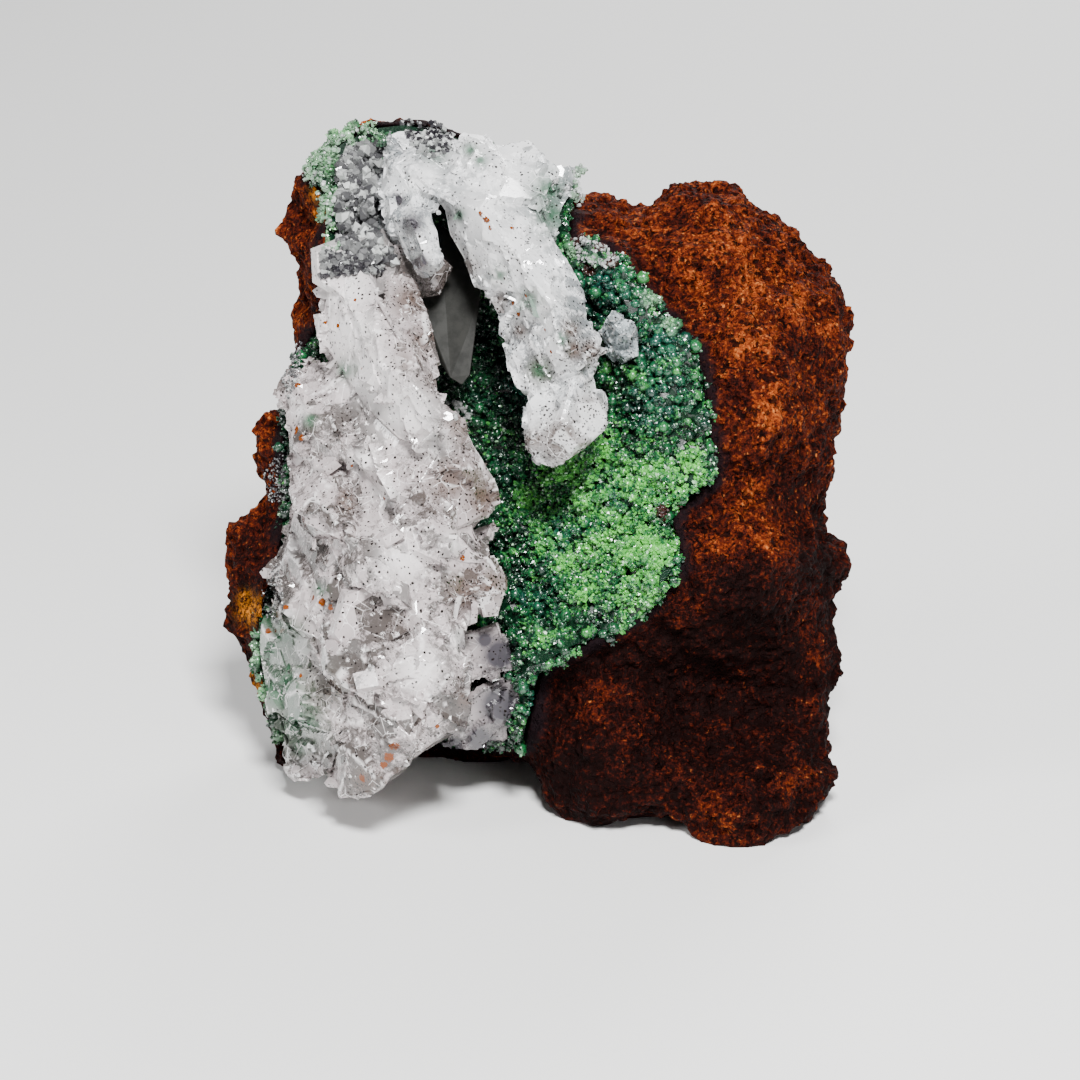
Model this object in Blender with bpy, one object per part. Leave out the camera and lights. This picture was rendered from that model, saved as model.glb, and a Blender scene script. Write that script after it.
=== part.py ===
"""Conichalcite with calcite on limonite: a small cabinet mineral specimen.

A lump of rusty limonite holds an open hollow. A green conichalcite crust lines the hollow, and white
calcite crystals fill its left half and hang across it from the roof.

The pieces are laid out in the specimen's display view: a place is given by a column and a row of that
view, in view units, and by a depth in millimetres towards the viewer. `place` turns it into a point of
the specimen's own frame, in metres, with +Z up, +X to the right, and the origin at the middle of the
rectangle that the specimen covers on the surface under it.

Run with: blender --background --python part.py
"""

import math

import bmesh
import bpy
import numpy as np
from mathutils import Vector
from mathutils.geometry import delaunay_2d_cdt

MM = 0.001

# Driving dimensions
SPECIMEN_WIDTH = 63.3 * MM
VIEW_DISTANCE = 450.0 * MM
VIEW_ELEVATION = math.radians(20.0)
CRUST_THICKNESS = 1.7
PIECE_GAP = 0.3
CRUST_GAP = 0.45

# What crystals keep clear of the crust and of the rock's rough face, besides the gap, in mm
CRUST_CLEARANCE = 0.5
ROCK_CLEARANCE = 1.3

# The display view: its middle, the columns that the specimen's width spans, and where the middle is
VIEW_MIDDLE = 540.0
LEFT_COLUMN = 222.0
RIGHT_COLUMN = 855.0
VIEW_UNIT = SPECIMEN_WIDTH / (RIGHT_COLUMN - LEFT_COLUMN)
UNITS_PER_MM = MM / VIEW_UNIT
MIDDLE_POINT = Vector((0.38, -2.85, 24.9)) * MM

# Limonite: the outline of the whole rock, clockwise from its upper left
ROCK_OUTLINE = (
    (300, 165), (318, 146), (345, 129), (375, 117), (400, 114), (443, 122), (480, 134), (520, 157),
    (553, 180), (584, 187), (600, 193), (630, 205), (648, 196), (664, 180), (684, 172), (705, 176),
    (744, 190), (775, 214), (805, 247), (830, 272), (843, 292), (855, 316), (852, 345), (850, 377),
    (843, 405), (839, 430), (837, 464), (831, 483), (831, 500), (829, 526), (849, 554), (848, 574),
    (838, 590), (834, 615), (842, 648), (846, 674), (834, 700), (827, 725), (832, 765), (830, 794),
    (812, 817), (781, 836), (755, 850), (740, 857), (717, 855), (699, 845), (684, 829), (678, 812),
    (653, 817), (612, 822), (602, 832), (587, 831), (566, 819), (548, 801), (538, 784), (528, 762),
    (500, 762), (440, 770), (360, 778), (300, 775), (287, 773), (274, 764), (262, 707), (249, 663),
    (243, 651), (232, 635), (226, 610), (222, 587), (223, 564), (226, 545), (229, 529), (237, 518),
    (257, 509), (264, 490), (257, 481), (257, 440), (257, 426), (267, 419), (281, 408), (281, 373),
    (292, 352), (291, 330), (295, 295), (296, 266), (280, 242), (277, 228), (285, 192),
)

# Depths of the rock's face, before its edges are rounded
ROCK_FRONT = (
    (640, 230, 2), (700, 230, 3), (780, 260, 2), (690, 300, 6), (740, 310, 8), (820, 330, 2),
    (720, 380, 10), (790, 430, 11), (730, 450, 11), (838, 430, 3), (718, 490, 9), (770, 503, 7),
    (826, 522, 1), (690, 540, 11), (750, 550, 13), (805, 565, 10), (660, 600, 10), (720, 620, 10),
    (780, 625, 8), (832, 610, 2), (600, 665, 7), (560, 700, 5), (640, 700, 7), (602, 735, 10),
    (700, 700, 3), (752, 690, 2), (738, 745, 5), (690, 770, 8), (750, 812, 14), (715, 838, 12),
    (600, 812, 9), (790, 765, 8), (822, 790, 4), (562, 780, 7), (835, 700, 2), (600, 215, 1),
    (584, 240, 3), (520, 170, -2), (450, 130, -2), (380, 125, -2), (330, 150, -3), (300, 180, -4),
    (303, 225, -9), (280, 235, -6), (324, 235, 0), (306, 292, -1), (300, 330, -2), (288, 380, -3),
    (268, 440, -5), (270, 490, -7), (238, 545, -8), (236, 600, -8), (268, 560, -4), (260, 600, -4),
    (250, 645, -6), (262, 690, -6), (275, 740, -6), (285, 765, -5), (620, 265, 5), (652, 305, 7),
    (694, 360, 9), (712, 420, 10), (690, 515, 11), (676, 560, 11), (645, 622, 9), (590, 645, 8),
    (545, 675, 6), (530, 725, 5), (450, 300, 0), (400, 500, 0), (400, 700, 0), (500, 600, 2),
)

# Depths of the rock's back
ROCK_BACK = (
    (350, 230, -15), (450, 170, -15), (600, 260, -16), (700, 300, -20), (790, 350, -17), (350, 420, -19),
    (480, 420, -21), (620, 470, -21), (740, 520, -24), (810, 560, -20), (290, 600, -20), (400, 640, -23),
    (540, 640, -25), (680, 660, -23), (770, 740, -24), (330, 740, -20), (480, 740, -23), (640, 790, -21),
)

# Depths of the edge along which the rock's face and back meet
ROCK_EDGE = (
    (850, 350, -6), (840, 560, -5), (840, 700, -2), (830, 790, 4), (755, 855, 10), (690, 840, 8),
    (600, 832, 5), (560, 812, 3), (530, 760, -1), (222, 580, -14), (240, 520, -14), (257, 440, -12),
    (280, 380, -10), (290, 310, -9), (278, 230, -10), (300, 165, -10), (400, 114, -10), (480, 132, -8),
    (553, 178, -6), (600, 195, -7), (700, 172, -6), (800, 240, -6), (285, 770, -8), (262, 707, -9),
    (250, 660, -10), (360, 775, -13), (440, 765, -13), (500, 758, -10), (540, 500, -6),
)
LEFT_ROUNDING = 3.0
RIGHT_ROUNDING = 8.0
BACK_ROUNDING = 8.0

# The hollow: its rim, clockwise from its upper left, and the depths of its floor
HOLLOW_OUTLINE = (
    (304, 174), (322, 153), (348, 137), (378, 125), (405, 122), (443, 130), (478, 142), (516, 165),
    (550, 188), (577, 196), (570, 235), (568, 250), (590, 241), (620, 262), (650, 300), (665, 320),
    (690, 345), (700, 370), (705, 400), (707, 430), (712, 460), (715, 480), (700, 490), (680, 510),
    (672, 522), (680, 545), (678, 565), (665, 585), (645, 610), (620, 630), (600, 636), (570, 650),
    (545, 665), (538, 685), (535, 700), (529, 725), (524, 745), (520, 800), (300, 800), (286, 764),
    (276, 735), (270, 705), (259, 665), (257, 640), (262, 605), (270, 580), (280, 550), (286, 500),
    (284, 450), (286, 412), (293, 380), (303, 352), (318, 325), (326, 300), (334, 283), (321, 268),
    (326, 235), (326, 205), (318, 190),
)
HOLLOW_FLOOR = (
    (577, 196, -1), (568, 250, 1), (590, 242, 3), (620, 262, 4), (650, 300, 5.5), (690, 345, 7),
    (705, 400, 8), (715, 480, 8.5), (680, 510, 8), (680, 545, 8.5), (665, 585, 8), (620, 630, 6.5),
    (570, 650, 5), (538, 685, 3), (529, 725, 1), (522, 760, -2), (640, 420, 2.5), (600, 380, -2),
    (600, 300, 0), (650, 500, 5), (600, 500, 0), (560, 560, -1), (600, 590, 3), (540, 620, -1),
    (520, 560, -4), (515, 700, -4), (500, 400, -9), (480, 330, -10), (450, 390, -11), (500, 480, -7),
    (470, 480, -9), (460, 600, -9), (430, 300, -9), (400, 450, -11), (400, 600, -11), (350, 550, -10),
    (400, 720, -11), (350, 680, -10), (440, 740, -11), (450, 200, -8), (500, 200, -6), (540, 230, -3),
    (400, 180, -8), (350, 200, -7), (450, 145, -7), (520, 172, -5), (326, 235, -3), (335, 205, -5),
    (306, 176, -6), (348, 140, -7), (405, 126, -7), (323, 270, -3), (320, 300, -4), (303, 355, -5),
    (290, 400, -6), (285, 450, -7), (286, 500, -7), (280, 550, -7), (262, 605, -7), (257, 650, -8),
    (270, 705, -8), (286, 760, -9), (360, 790, -11), (480, 790, -10),
)
CRUST_BOTTOM_ROW = 752
HOLLOW_MOUTH_DEPTH = 45.0
BELOW_ALL_DEPTH = -60.0
OVERSHOOT = 5.0
RIM_OVERLAP = 0.1

# The view's corners beyond the specimen, and the ground block's width and depth in mm
VIEW_CORNERS = ((150, 60), (930, 60), (930, 900), (150, 900))
GROUND_WIDTH = 120.0
GROUND_DEPTH = 20.0

# Botryoidal lumps of the crust
LUMP_SPACING = 2.9
LUMP_RADIUS = (1.5, 2.7)
LUMP_HEIGHT = (0.4, 2.0)
CRUST_FINE_SPACING = 1.45
CRUST_COARSE_SPACING = 3.2
CRUST_HIDDEN_COLUMN = 440
CRUST_FADE_COLUMNS = 25.0

CRUST_FRONT_SHARE = 0.75

# Triangles and grain of the rock
ROCK_GRID = 1.0
ROCK_VOXEL = 0.7
ROCK_TRIANGLES = 3450
ROCK_NOISE = ((8.0, 1.8), (3.0, 1.4))
FLOOR_SPACING = 3.0
ROCK_SIDE_SPACING = 2.5
VIEW_CORNER_SPACING = 10.0

# Scattered places: how far each may leave its triangular grid, and how near an outline it may lie
GRID_SHAKE = 0.2
GRID_MARGIN = 0.6
LUMP_MARGIN = 0.2
ROW_STEP = math.sqrt(0.75)

# Depth surfaces: the step over which a slope is measured, and the steepest slope factor
SLOPE_STEP = 5.0
STEEPEST = 3.0
PLACE_SCALE = 100.0
SMOOTHING = 1e-3
MERGE_DISTANCE = 1e-6

# One seed for each random choice
ROCK_GRID_SEED = 3
FLOOR_SEED = 5
FINE_SEED = 6
COARSE_SEED = 7
ROCK_SIDE_SEED = 8
LUMP_SIZE_SEED = 11
LUMP_PLACE_SEED = 12
DRUSE_HEIGHT_SEED = 21
DRUSE_PLACE_SEED = 22


def place(column, row, depth):
    """The point of the specimen's frame that shows at a column and a row of the view, at a depth in mm."""
    depth = depth * MM
    shrink = (VIEW_DISTANCE - depth) / VIEW_DISTANCE
    right = (column - VIEW_MIDDLE) * VIEW_UNIT * shrink
    up = (VIEW_MIDDLE - row) * VIEW_UNIT * shrink
    sine, cosine = math.sin(VIEW_ELEVATION), math.cos(VIEW_ELEVATION)
    return MIDDLE_POINT + Vector((right, up * sine - depth * cosine, up * cosine + depth * sine))


def smooth_depths(points):
    """A function of column and row: the thin-plate surface through hand-placed (column, row, depth) points."""
    known = np.array(points, dtype=float)
    places = known[:, :2] / PLACE_SCALE
    count = len(places)

    def bend(squared):
        return 0.5 * squared * np.log(squared + 1e-12)

    squared = ((places[:, None] - places[None, :]) ** 2).sum(axis=2)
    system = np.zeros((count + 3, count + 3))
    system[:count, :count] = bend(squared) + SMOOTHING * np.eye(count)
    system[:count, count] = 1.0
    system[:count, count + 1 :] = places
    system[count:, :count] = system[:count, count:].T
    weights = np.linalg.solve(system, np.append(known[:, 2], (0.0, 0.0, 0.0)))

    def depth(column, row):
        here = np.array((column, row)) / PLACE_SCALE
        reach = ((places - here) ** 2).sum(axis=1)
        plane = weights[count] + here @ weights[count + 1 :]
        return float(bend(reach) @ weights[:count] + plane)

    return depth


rock_front = smooth_depths(ROCK_FRONT)
rock_back = smooth_depths(ROCK_BACK)
rock_edge = smooth_depths(ROCK_EDGE)
hollow_floor = smooth_depths(HOLLOW_FLOOR)


def slope_factor(surface, column, row):
    """How much longer a step along the view is than the step square to a sloping surface."""
    step = SLOPE_STEP
    across = (surface(column + step, row) - surface(column - step, row)) * UNITS_PER_MM / (2 * step)
    along = (surface(column, row + step) - surface(column, row - step)) * UNITS_PER_MM / (2 * step)
    return min(math.sqrt(1.0 + across * across + along * along), STEEPEST)


def edge_distance(outline, column, row):
    """The distance in view units from a place to an outline."""
    corners = np.array(outline, dtype=float)
    sides = np.roll(corners, -1, axis=0) - corners
    to_place = np.array((column, row)) - corners
    share = (to_place * sides).sum(axis=1) / (sides**2).sum(axis=1)
    nearest = corners + sides * np.clip(share, 0.0, 1.0)[:, None]
    return float(np.sqrt(((np.array((column, row)) - nearest) ** 2).sum(axis=1).min()))


def is_inside(outline, column, row):
    """Whether a place lies inside an outline."""
    inside = False
    for (x1, y1), (x2, y2) in zip(outline, outline[1:] + outline[:1]):
        if (y1 > row) != (y2 > row) and column < (x2 - x1) * (row - y1) / (y2 - y1) + x1:
            inside = not inside
    return inside


def inset(outline, distance):
    """A clockwise outline drawn in by a distance in mm."""
    corners = np.array(outline, dtype=float)
    before = corners - np.roll(corners, 1, axis=0)
    after = np.roll(corners, -1, axis=0) - corners
    before /= np.linalg.norm(before, axis=1)[:, None]
    after /= np.linalg.norm(after, axis=1)[:, None]
    inward = np.stack((-before[:, 1] - after[:, 1], before[:, 0] + after[:, 0]), axis=1)
    inward /= (inward**2).sum(axis=1)[:, None] / 2.0
    return tuple(map(tuple, corners + inward * distance * UNITS_PER_MM))


def resampled(outline, spacing):
    """An outline with extra points, so that no side is longer than a spacing in mm."""
    points = []
    for (x1, y1), (x2, y2) in zip(outline, outline[1:] + outline[:1]):
        parts = max(1, math.ceil(math.hypot(x2 - x1, y2 - y1) / (spacing * UNITS_PER_MM)))
        points += [(x1 + (x2 - x1) * i / parts, y1 + (y2 - y1) * i / parts) for i in range(parts)]
    return tuple(points)


def scattered(outline, spacing, seed, margin=GRID_MARGIN):
    """Places in a shaken triangular grid inside an outline, a margin of the spacing away from it."""
    rng = np.random.default_rng(seed)
    step = spacing * UNITS_PER_MM
    columns = [x for x, _ in outline]
    rows = [y for _, y in outline]
    places = []
    for i, row in enumerate(np.arange(min(rows), max(rows), step * ROW_STEP)):
        for column in np.arange(min(columns) + step * 0.5 * (i % 2), max(columns), step):
            x = column + rng.uniform(-GRID_SHAKE, GRID_SHAKE) * step
            y = row + rng.uniform(-GRID_SHAKE, GRID_SHAKE) * step
            if is_inside(outline, x, y) and edge_distance(outline, x, y) > margin * step:
                places.append((float(x), float(y)))
    return places


def triangulated(outline, inner):
    """(places, triangles) that fill an outline through its inner places."""
    places = [Vector(p) for p in list(outline) + list(inner)]
    edges = [(i, (i + 1) % len(outline)) for i in range(len(outline))]
    filled = delaunay_2d_cdt(places, edges, [], 1, MERGE_DISTANCE)
    return [tuple(p) for p in filled[0]], [tuple(face) for face in filled[2]]


def facing_viewer(points, triangles):
    """The triangles turned so that each one's normal points towards the viewer."""
    towards = Vector((0.0, -math.cos(VIEW_ELEVATION), math.sin(VIEW_ELEVATION)))
    turned = []
    for a, b, c in triangles:
        normal = (points[b] - points[a]).cross(points[c] - points[a])
        turned.append((a, b, c) if normal.dot(towards) > 0 else (a, c, b))
    return turned


def new_object(name, points, faces):
    """An object of a new mesh, linked to the scene."""
    mesh = bpy.data.meshes.new(name)
    mesh.from_pydata([tuple(p) for p in points], [], faces)
    mesh.validate()
    obj = bpy.data.objects.new(name, mesh)
    bpy.context.scene.collection.objects.link(obj)
    return obj


def sheet_body(name, outline, front, back, front_inner, back_inner):
    """A closed body between two surfaces of depth over one outline, with straight sides along the view."""
    flat, triangles = triangulated(outline, front_inner)
    points = [place(x, y, front(x, y)) for x, y in flat]
    faces = facing_viewer(points, triangles)
    flat, triangles = triangulated(outline, back_inner)
    behind = [place(x, y, back(x, y)) for x, y in flat]
    start = len(points)
    faces += [(a + start, c + start, b + start) for a, b, c in facing_viewer(behind, triangles)]
    points += behind
    for i in range(len(outline)):
        j = (i + 1) % len(outline)
        faces.append((i, j, start + j))
        faces.append((i, start + j, start + i))
    body = new_object(name, points, faces)
    face_outwards(body)
    return body


def lens_body(name, outline, front, back, edge, rounding):
    """A closed body whose front and back surfaces curve in to one edge along its outline."""
    flat, triangles = triangulated(outline, scattered(outline, ROCK_GRID, ROCK_GRID_SEED))

    def rounded(surface, width, x, y):
        share = min(edge_distance(outline, x, y) / (width(x) * UNITS_PER_MM), 1.0)
        bulge = math.sqrt(1.0 - (1.0 - share) ** 2)
        return edge(x, y) + (surface(x, y) - edge(x, y)) * bulge

    points = [place(x, y, rounded(front, rounding, x, y)) for x, y in flat]
    faces = facing_viewer(points, triangles)
    behind = []
    back_index = {}
    for i, (x, y) in enumerate(flat):
        if i < len(outline):
            back_index[i] = i
            continue
        back_index[i] = len(points) + len(behind)
        behind.append(place(x, y, rounded(back, lambda _: BACK_ROUNDING, x, y)))
    faces += [(back_index[a], back_index[c], back_index[b]) for a, b, c in faces]
    return new_object(name, points + behind, faces)


def face_outwards(obj):
    """Recalculates an object's normals so that its faces point out."""
    shape = bmesh.new()
    shape.from_mesh(obj.data)
    bmesh.ops.recalc_face_normals(shape, faces=shape.faces)
    bmesh.ops.triangulate(shape, faces=shape.faces)
    if shape.calc_volume(signed=True) < 0:
        bmesh.ops.reverse_faces(shape, faces=shape.faces)
    shape.to_mesh(obj.data)
    shape.free()


def apply_modifiers(obj):
    """Replaces an object's mesh with the mesh that its modifiers make."""
    graph = bpy.context.evaluated_depsgraph_get()
    made = bpy.data.meshes.new_from_object(obj.evaluated_get(graph))
    obj.modifiers.clear()
    obj.data = made


def combine(obj, operation, others):
    """Applies an exact Boolean with each of the other objects, and removes them."""
    for other in others:
        modifier = obj.modifiers.new(operation.title(), "BOOLEAN")
        modifier.operation = operation
        modifier.solver = "EXACT"
        modifier.object = other
        apply_modifiers(obj)
    for other in others:
        bpy.data.objects.remove(other)
    return obj


def cut_by(obj, cutter):
    """Applies an exact Boolean difference, and keeps the cutter for the next piece."""
    modifier = obj.modifiers.new("Cut", "BOOLEAN")
    modifier.operation = "DIFFERENCE"
    modifier.solver = "EXACT"
    modifier.object = cutter
    apply_modifiers(obj)


def keep_largest(obj):
    """Deletes every loose bit of an object except the largest one."""
    shape = bmesh.new()
    shape.from_mesh(obj.data)
    bmesh.ops.remove_doubles(shape, verts=shape.verts, dist=MERGE_DISTANCE)
    bmesh.ops.dissolve_degenerate(shape, dist=MERGE_DISTANCE, edges=shape.edges)
    left = set(shape.verts)
    bits = []
    while left:
        stack = [left.pop()]
        bit = set(stack)
        while stack:
            for edge in stack.pop().link_edges:
                for vertex in edge.verts:
                    if vertex in left:
                        left.remove(vertex)
                        bit.add(vertex)
                        stack.append(vertex)
        bits.append(bit)
    bits.sort(key=len)
    for bit in bits[:-1]:
        bmesh.ops.delete(shape, geom=list(bit), context="VERTS")
    bmesh.ops.triangulate(shape, faces=shape.faces)
    shape.to_mesh(obj.data)
    shape.free()


def noise_texture(name, size):
    """A clouds texture whose features are a size in mm."""
    texture = bpy.data.textures.new(name, "CLOUDS")
    texture.noise_scale = size * MM
    texture.noise_depth = 2
    return texture


def material(name, colour, roughness, transmission=0.0):
    """A plain Principled material."""
    made = bpy.data.materials.new(name)
    made.use_nodes = True
    shader = made.node_tree.nodes["Principled BSDF"]
    shader.inputs["Base Color"].default_value = (*colour, 1.0)
    shader.inputs["Roughness"].default_value = roughness
    shader.inputs["Metallic"].default_value = 0.0
    shader.inputs["Transmission Weight"].default_value = transmission
    return made


def crust_lumps():
    """(column, row, radius, height) of each botryoidal lump, the radius and the height in mm."""
    rng = np.random.default_rng(LUMP_SIZE_SEED)
    lumps = []
    for x, y in scattered(HOLLOW_OUTLINE, LUMP_SPACING, LUMP_PLACE_SEED, LUMP_MARGIN):
        lumps.append((x, y, rng.uniform(*LUMP_RADIUS), rng.uniform(*LUMP_HEIGHT)))
    return lumps


LUMPS = np.array(crust_lumps())


def crust_height(column, row):
    """The crust's height above the hollow's floor, in mm square to the floor; it is smooth behind the calcite."""
    away = np.hypot(LUMPS[:, 0] - column, LUMPS[:, 1] - row) / (LUMPS[:, 2] * UNITS_PER_MM)
    domes = LUMPS[:, 3] * np.sqrt(np.clip(1.0 - away**2, 0.0, 1.0))
    shown = min(max((column - CRUST_HIDDEN_COLUMN) / CRUST_FADE_COLUMNS, 0.0), 1.0)
    return CRUST_GAP + CRUST_THICKNESS * CRUST_FRONT_SHARE + shown * float(domes.max())


def above_floor(height):
    """A surface of depth that lies a height in mm above the hollow's floor; the height may vary."""

    def surface(column, row):
        rise = height(column, row) if callable(height) else height
        return hollow_floor(column, row) + rise * slope_factor(hollow_floor, column, row)

    return surface


crust_front = above_floor(crust_height)


def convex_crystal(points):
    """One convex crystal through points of the specimen's frame."""
    shape = bmesh.new()
    for point in points:
        shape.verts.new(point)
    bmesh.ops.convex_hull(shape, input=shape.verts)
    inner = [vertex for vertex in shape.verts if not vertex.link_faces]
    bmesh.ops.delete(shape, geom=inner, context="VERTS")
    mesh = bpy.data.meshes.new("crystal")
    shape.to_mesh(mesh)
    shape.free()
    crystal = bpy.data.objects.new("crystal", mesh)
    bpy.context.scene.collection.objects.link(crystal)
    face_outwards(crystal)
    return crystal


def hull(corners):
    """A crystal through its corner points, each a (column, row, depth)."""
    return convex_crystal([place(*corner) for corner in corners])


def tooth(root, tip, width, twist=0.0, flatness=0.75):
    """A six-sided pointed crystal from a root to a tip, each a (column, row, depth), with its width in mm."""
    start, end = place(*root), place(*tip)
    axis = end - start
    side = axis.orthogonal().normalized()
    across = axis.cross(side).normalized()
    points = [end]
    for share, scale in ((0.0, 0.8), (0.45, 1.0), (0.62, 0.92)):
        for corner in range(6):
            angle = twist + math.radians(60 * corner + (22 if share > 0.5 else 0))
            reach = width * MM * 0.5 * scale
            out = side * math.cos(angle) * reach + across * math.sin(angle) * reach * flatness
            points.append(start + axis * share + out)
    return convex_crystal(points)


# Crystals of the large white mass: corners as (column, row, depth)
WHITE_BLADE = (
    (322, 270, 2), (351, 268, 4), (365, 277, 6), (383, 298, 9), (375, 350, 12), (398, 380, 14),
    (447, 418, 16), (442, 432, 15), (420, 451, 12), (397, 444, 10), (361, 410, 8), (333, 364, 4),
    (319, 346, 2), (317, 325, 2), (340, 300, -8), (430, 430, 2), (350, 400, -8),
)
SPECKLED_SIDE = (
    (385, 272, 4), (413, 275, 3), (420, 291, 4), (430, 318, 5), (431, 341, 6), (441, 366, 7),
    (444, 403, 9), (425, 400, 13), (398, 380, 13), (375, 350, 11), (383, 300, 8), (400, 300, -9),
    (430, 390, -8), (360, 320, -8),
)
UPPER_BLOCK = (
    (303, 352, -1), (288, 408, -2), (287, 460, -1), (290, 500, 0), (333, 364, 3), (361, 410, 7),
    (397, 444, 9), (440, 450, 11), (450, 400, 6), (462, 412, 8), (476, 437, 8), (480, 455, 8),
    (478, 473, 9), (499, 508, 8), (495, 518, 8), (479, 529, 8), (440, 540, 12), (380, 540, 13),
    (320, 540, 8), (300, 450, -12), (400, 400, -12), (450, 470, -10), (330, 540, -12),
)
PINK_RIDGE = (
    (346, 440, 7), (372, 438, 11), (380, 470, 14), (397, 500, 15), (383, 505, 12), (350, 458, 9),
    (350, 480, 0), (395, 470, 0), (370, 510, 2),
)
MIDDLE_BLOCK = (
    (280, 555, -2), (290, 500, 0), (268, 600, -3), (476, 525, 9), (478, 550, 10), (492, 565, 9),
    (505, 584, 9), (503, 600, 9), (490, 616, 8), (470, 625, 9), (320, 620, 10), (400, 610, 15),
    (400, 530, 14), (340, 560, 12), (285, 570, -12), (450, 560, -10), (470, 600, -9), (300, 620, -12),
)
LOWER_BLOCK = (
    (268, 600, -3), (260, 650, -4), (278, 730, -4), (290, 765, -4), (299, 768, -2), (322, 776, 3),
    (455, 610, 12), (470, 625, 10), (474, 700, 11), (471, 724, 11), (384, 778, 13), (375, 655, 16),
    (460, 662, 15), (330, 700, 10), (295, 740, -12), (460, 700, -6), (400, 740, -8), (290, 640, -12),
)
BOTTOM_TIP = (
    (324, 776, 5), (347, 798, 10), (357, 802, 11), (366, 799, 12), (382, 790, 12), (385, 779, 13),
    (406, 764, 13), (443, 739, 13), (471, 724, 12), (400, 690, 16), (340, 700, 12), (360, 750, 0),
    (440, 725, 0),
)
GREY_UPPER = (
    (440, 635, 6), (500, 618, 6), (505, 635, 7), (518, 660, 6), (517, 669, 6), (495, 676, 7),
    (450, 692, 7), (470, 650, -10), (500, 660, -8),
)
GREY_LOWER = (
    (480, 684, 6), (515, 671, 5), (522, 690, 5), (521, 708, 5), (514, 727, 4), (505, 745, 3),
    (470, 750, 3), (445, 752, 2), (440, 720, 6), (500, 700, -12), (450, 735, -12),
)
SMALL_WEDGE = (
    (470, 530, 6), (497, 521, 6), (502, 527, 6), (492, 543, 6), (474, 552, 6), (470, 540, 0), (490, 532, 3),
)

# Pointed crystals on the mass: root, tip, width in mm
MASS_TEETH = (
    ((380, 470, 4), (499, 510, 8), 9.0),
    ((390, 560, 6), (509, 586, 9), 9.5),
    ((420, 540, 8), (492, 563, 10), 6.0),
    ((400, 640, 8), (474, 722, 11), 8.0),
    ((300, 380, -3), (352, 470, 10), 8.0),
    ((310, 470, 2), (345, 545, 13), 8.0),
    ((345, 520, 7), (395, 600, 17), 8.0),
    ((400, 500, 8), (450, 570, 15), 8.0),
    ((290, 560, -3), (335, 650, 11), 8.0),
    ((400, 580, 9), (455, 640, 15), 8.0),
    ((335, 620, 7), (385, 700, 17), 9.0),
    ((300, 660, -2), (340, 740, 13), 8.0),
    ((420, 640, 10), (462, 700, 16), 7.0),
    ((285, 650, -6), (300, 735, 2), 7.0),
    ((375, 690, 10), (420, 745, 16), 7.0),
    ((298, 735, -4), (318, 780, 3), 5.0),
    ((396, 292, 0), (424, 340, 7), 3.6),
)

# Crystals of the arm that hangs from the roof
ROOF_MASS = (
    (386, 132, -4), (443, 120, -6), (480, 126, -5), (501, 130, -4), (521, 146, -3), (552, 168, -1),
    (560, 185, 2), (533, 203, 7), (500, 200, 9), (455, 205, 8), (425, 190, 6), (395, 160, 1),
    (420, 160, -12), (540, 190, -10), (470, 190, -12),
)
ROOF_SPIKE = (
    (545, 170, -1), (565, 169, 0), (572, 163, 0), (584, 168, 0), (592, 170, -1), (591, 178, -1),
    (584, 186, -1), (560, 195, 3), (570, 185, -6), (545, 195, -6),
)
CLEAR_SHOULDER = (
    (526, 190, 4), (550, 172, 0), (574, 192, 1), (571, 220, 2), (566, 240, 3), (547, 244, 6),
    (530, 225, 7), (540, 200, -8), (558, 230, -6),
)
LEFT_RIDGE = (
    (376, 196, -1), (384, 134, -4), (402, 140, -2), (432, 185, 5), (432, 217, 6), (410, 197, 4),
    (392, 165, 2), (400, 170, -12), (385, 200, -9),
)
HANGING_CRYSTAL = (
    (377, 198, 0), (377, 215, 1), (384, 229, 2), (400, 249, 3), (413, 265, 4), (420, 274, 5),
    (432, 277, 5), (441, 268, 6), (444, 249, 6), (442, 232, 6), (430, 205, 6), (405, 190, 3),
    (417, 222, 9), (430, 258, 9), (410, 225, -4), (425, 250, -1),
)
UPPER_ARM = (
    (446, 236, 4), (478, 291, 5), (503, 318, 6), (592, 320, 9), (579, 288, 9), (556, 251, 8),
    (538, 233, 8), (536, 200, 6), (500, 188, 6), (435, 185, 4), (482, 215, 11), (522, 262, 13),
    (552, 310, 14), (465, 230, -3), (550, 300, 1),
)
LOWER_ARM = (
    (492, 304, 5), (503, 318, 6), (512, 352, 7), (519, 366, 8), (545, 387, 9), (560, 396, 9),
    (597, 376, 10), (603, 359, 10), (592, 320, 9), (579, 288, 8), (550, 298, 14), (566, 350, 15),
    (578, 374, 13), (540, 340, 1), (580, 340, 2),
)
ARM_TIP = (
    (560, 366, 10), (556, 396, 8), (529, 417, 9), (519, 432, 9), (521, 447, 9), (536, 462, 10),
    (556, 467, 10), (584, 447, 11), (604, 429, 10), (608, 423, 10), (597, 408, 8), (595, 362, 9),
    (562, 425, 14), (574, 440, 13), (560, 420, 3), (580, 430, 3), (578, 362, 12), (578, 370, 5),
)
ARM_TEETH = (
    ((450, 140, -6), (505, 218, 9), 8.0),
    ((400, 150, -6), (440, 215, 7), 7.0),
    ((500, 150, -5), (548, 215, 6), 7.0),
    ((520, 330, 4), (556, 396, 11), 6.5),
    ((570, 330, 6), (600, 366, 11), 5.0),
    ((560, 395, 8), (523, 444, 10), 6.0),
    ((570, 405, 9), (607, 424, 10), 4.0),
)

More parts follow.
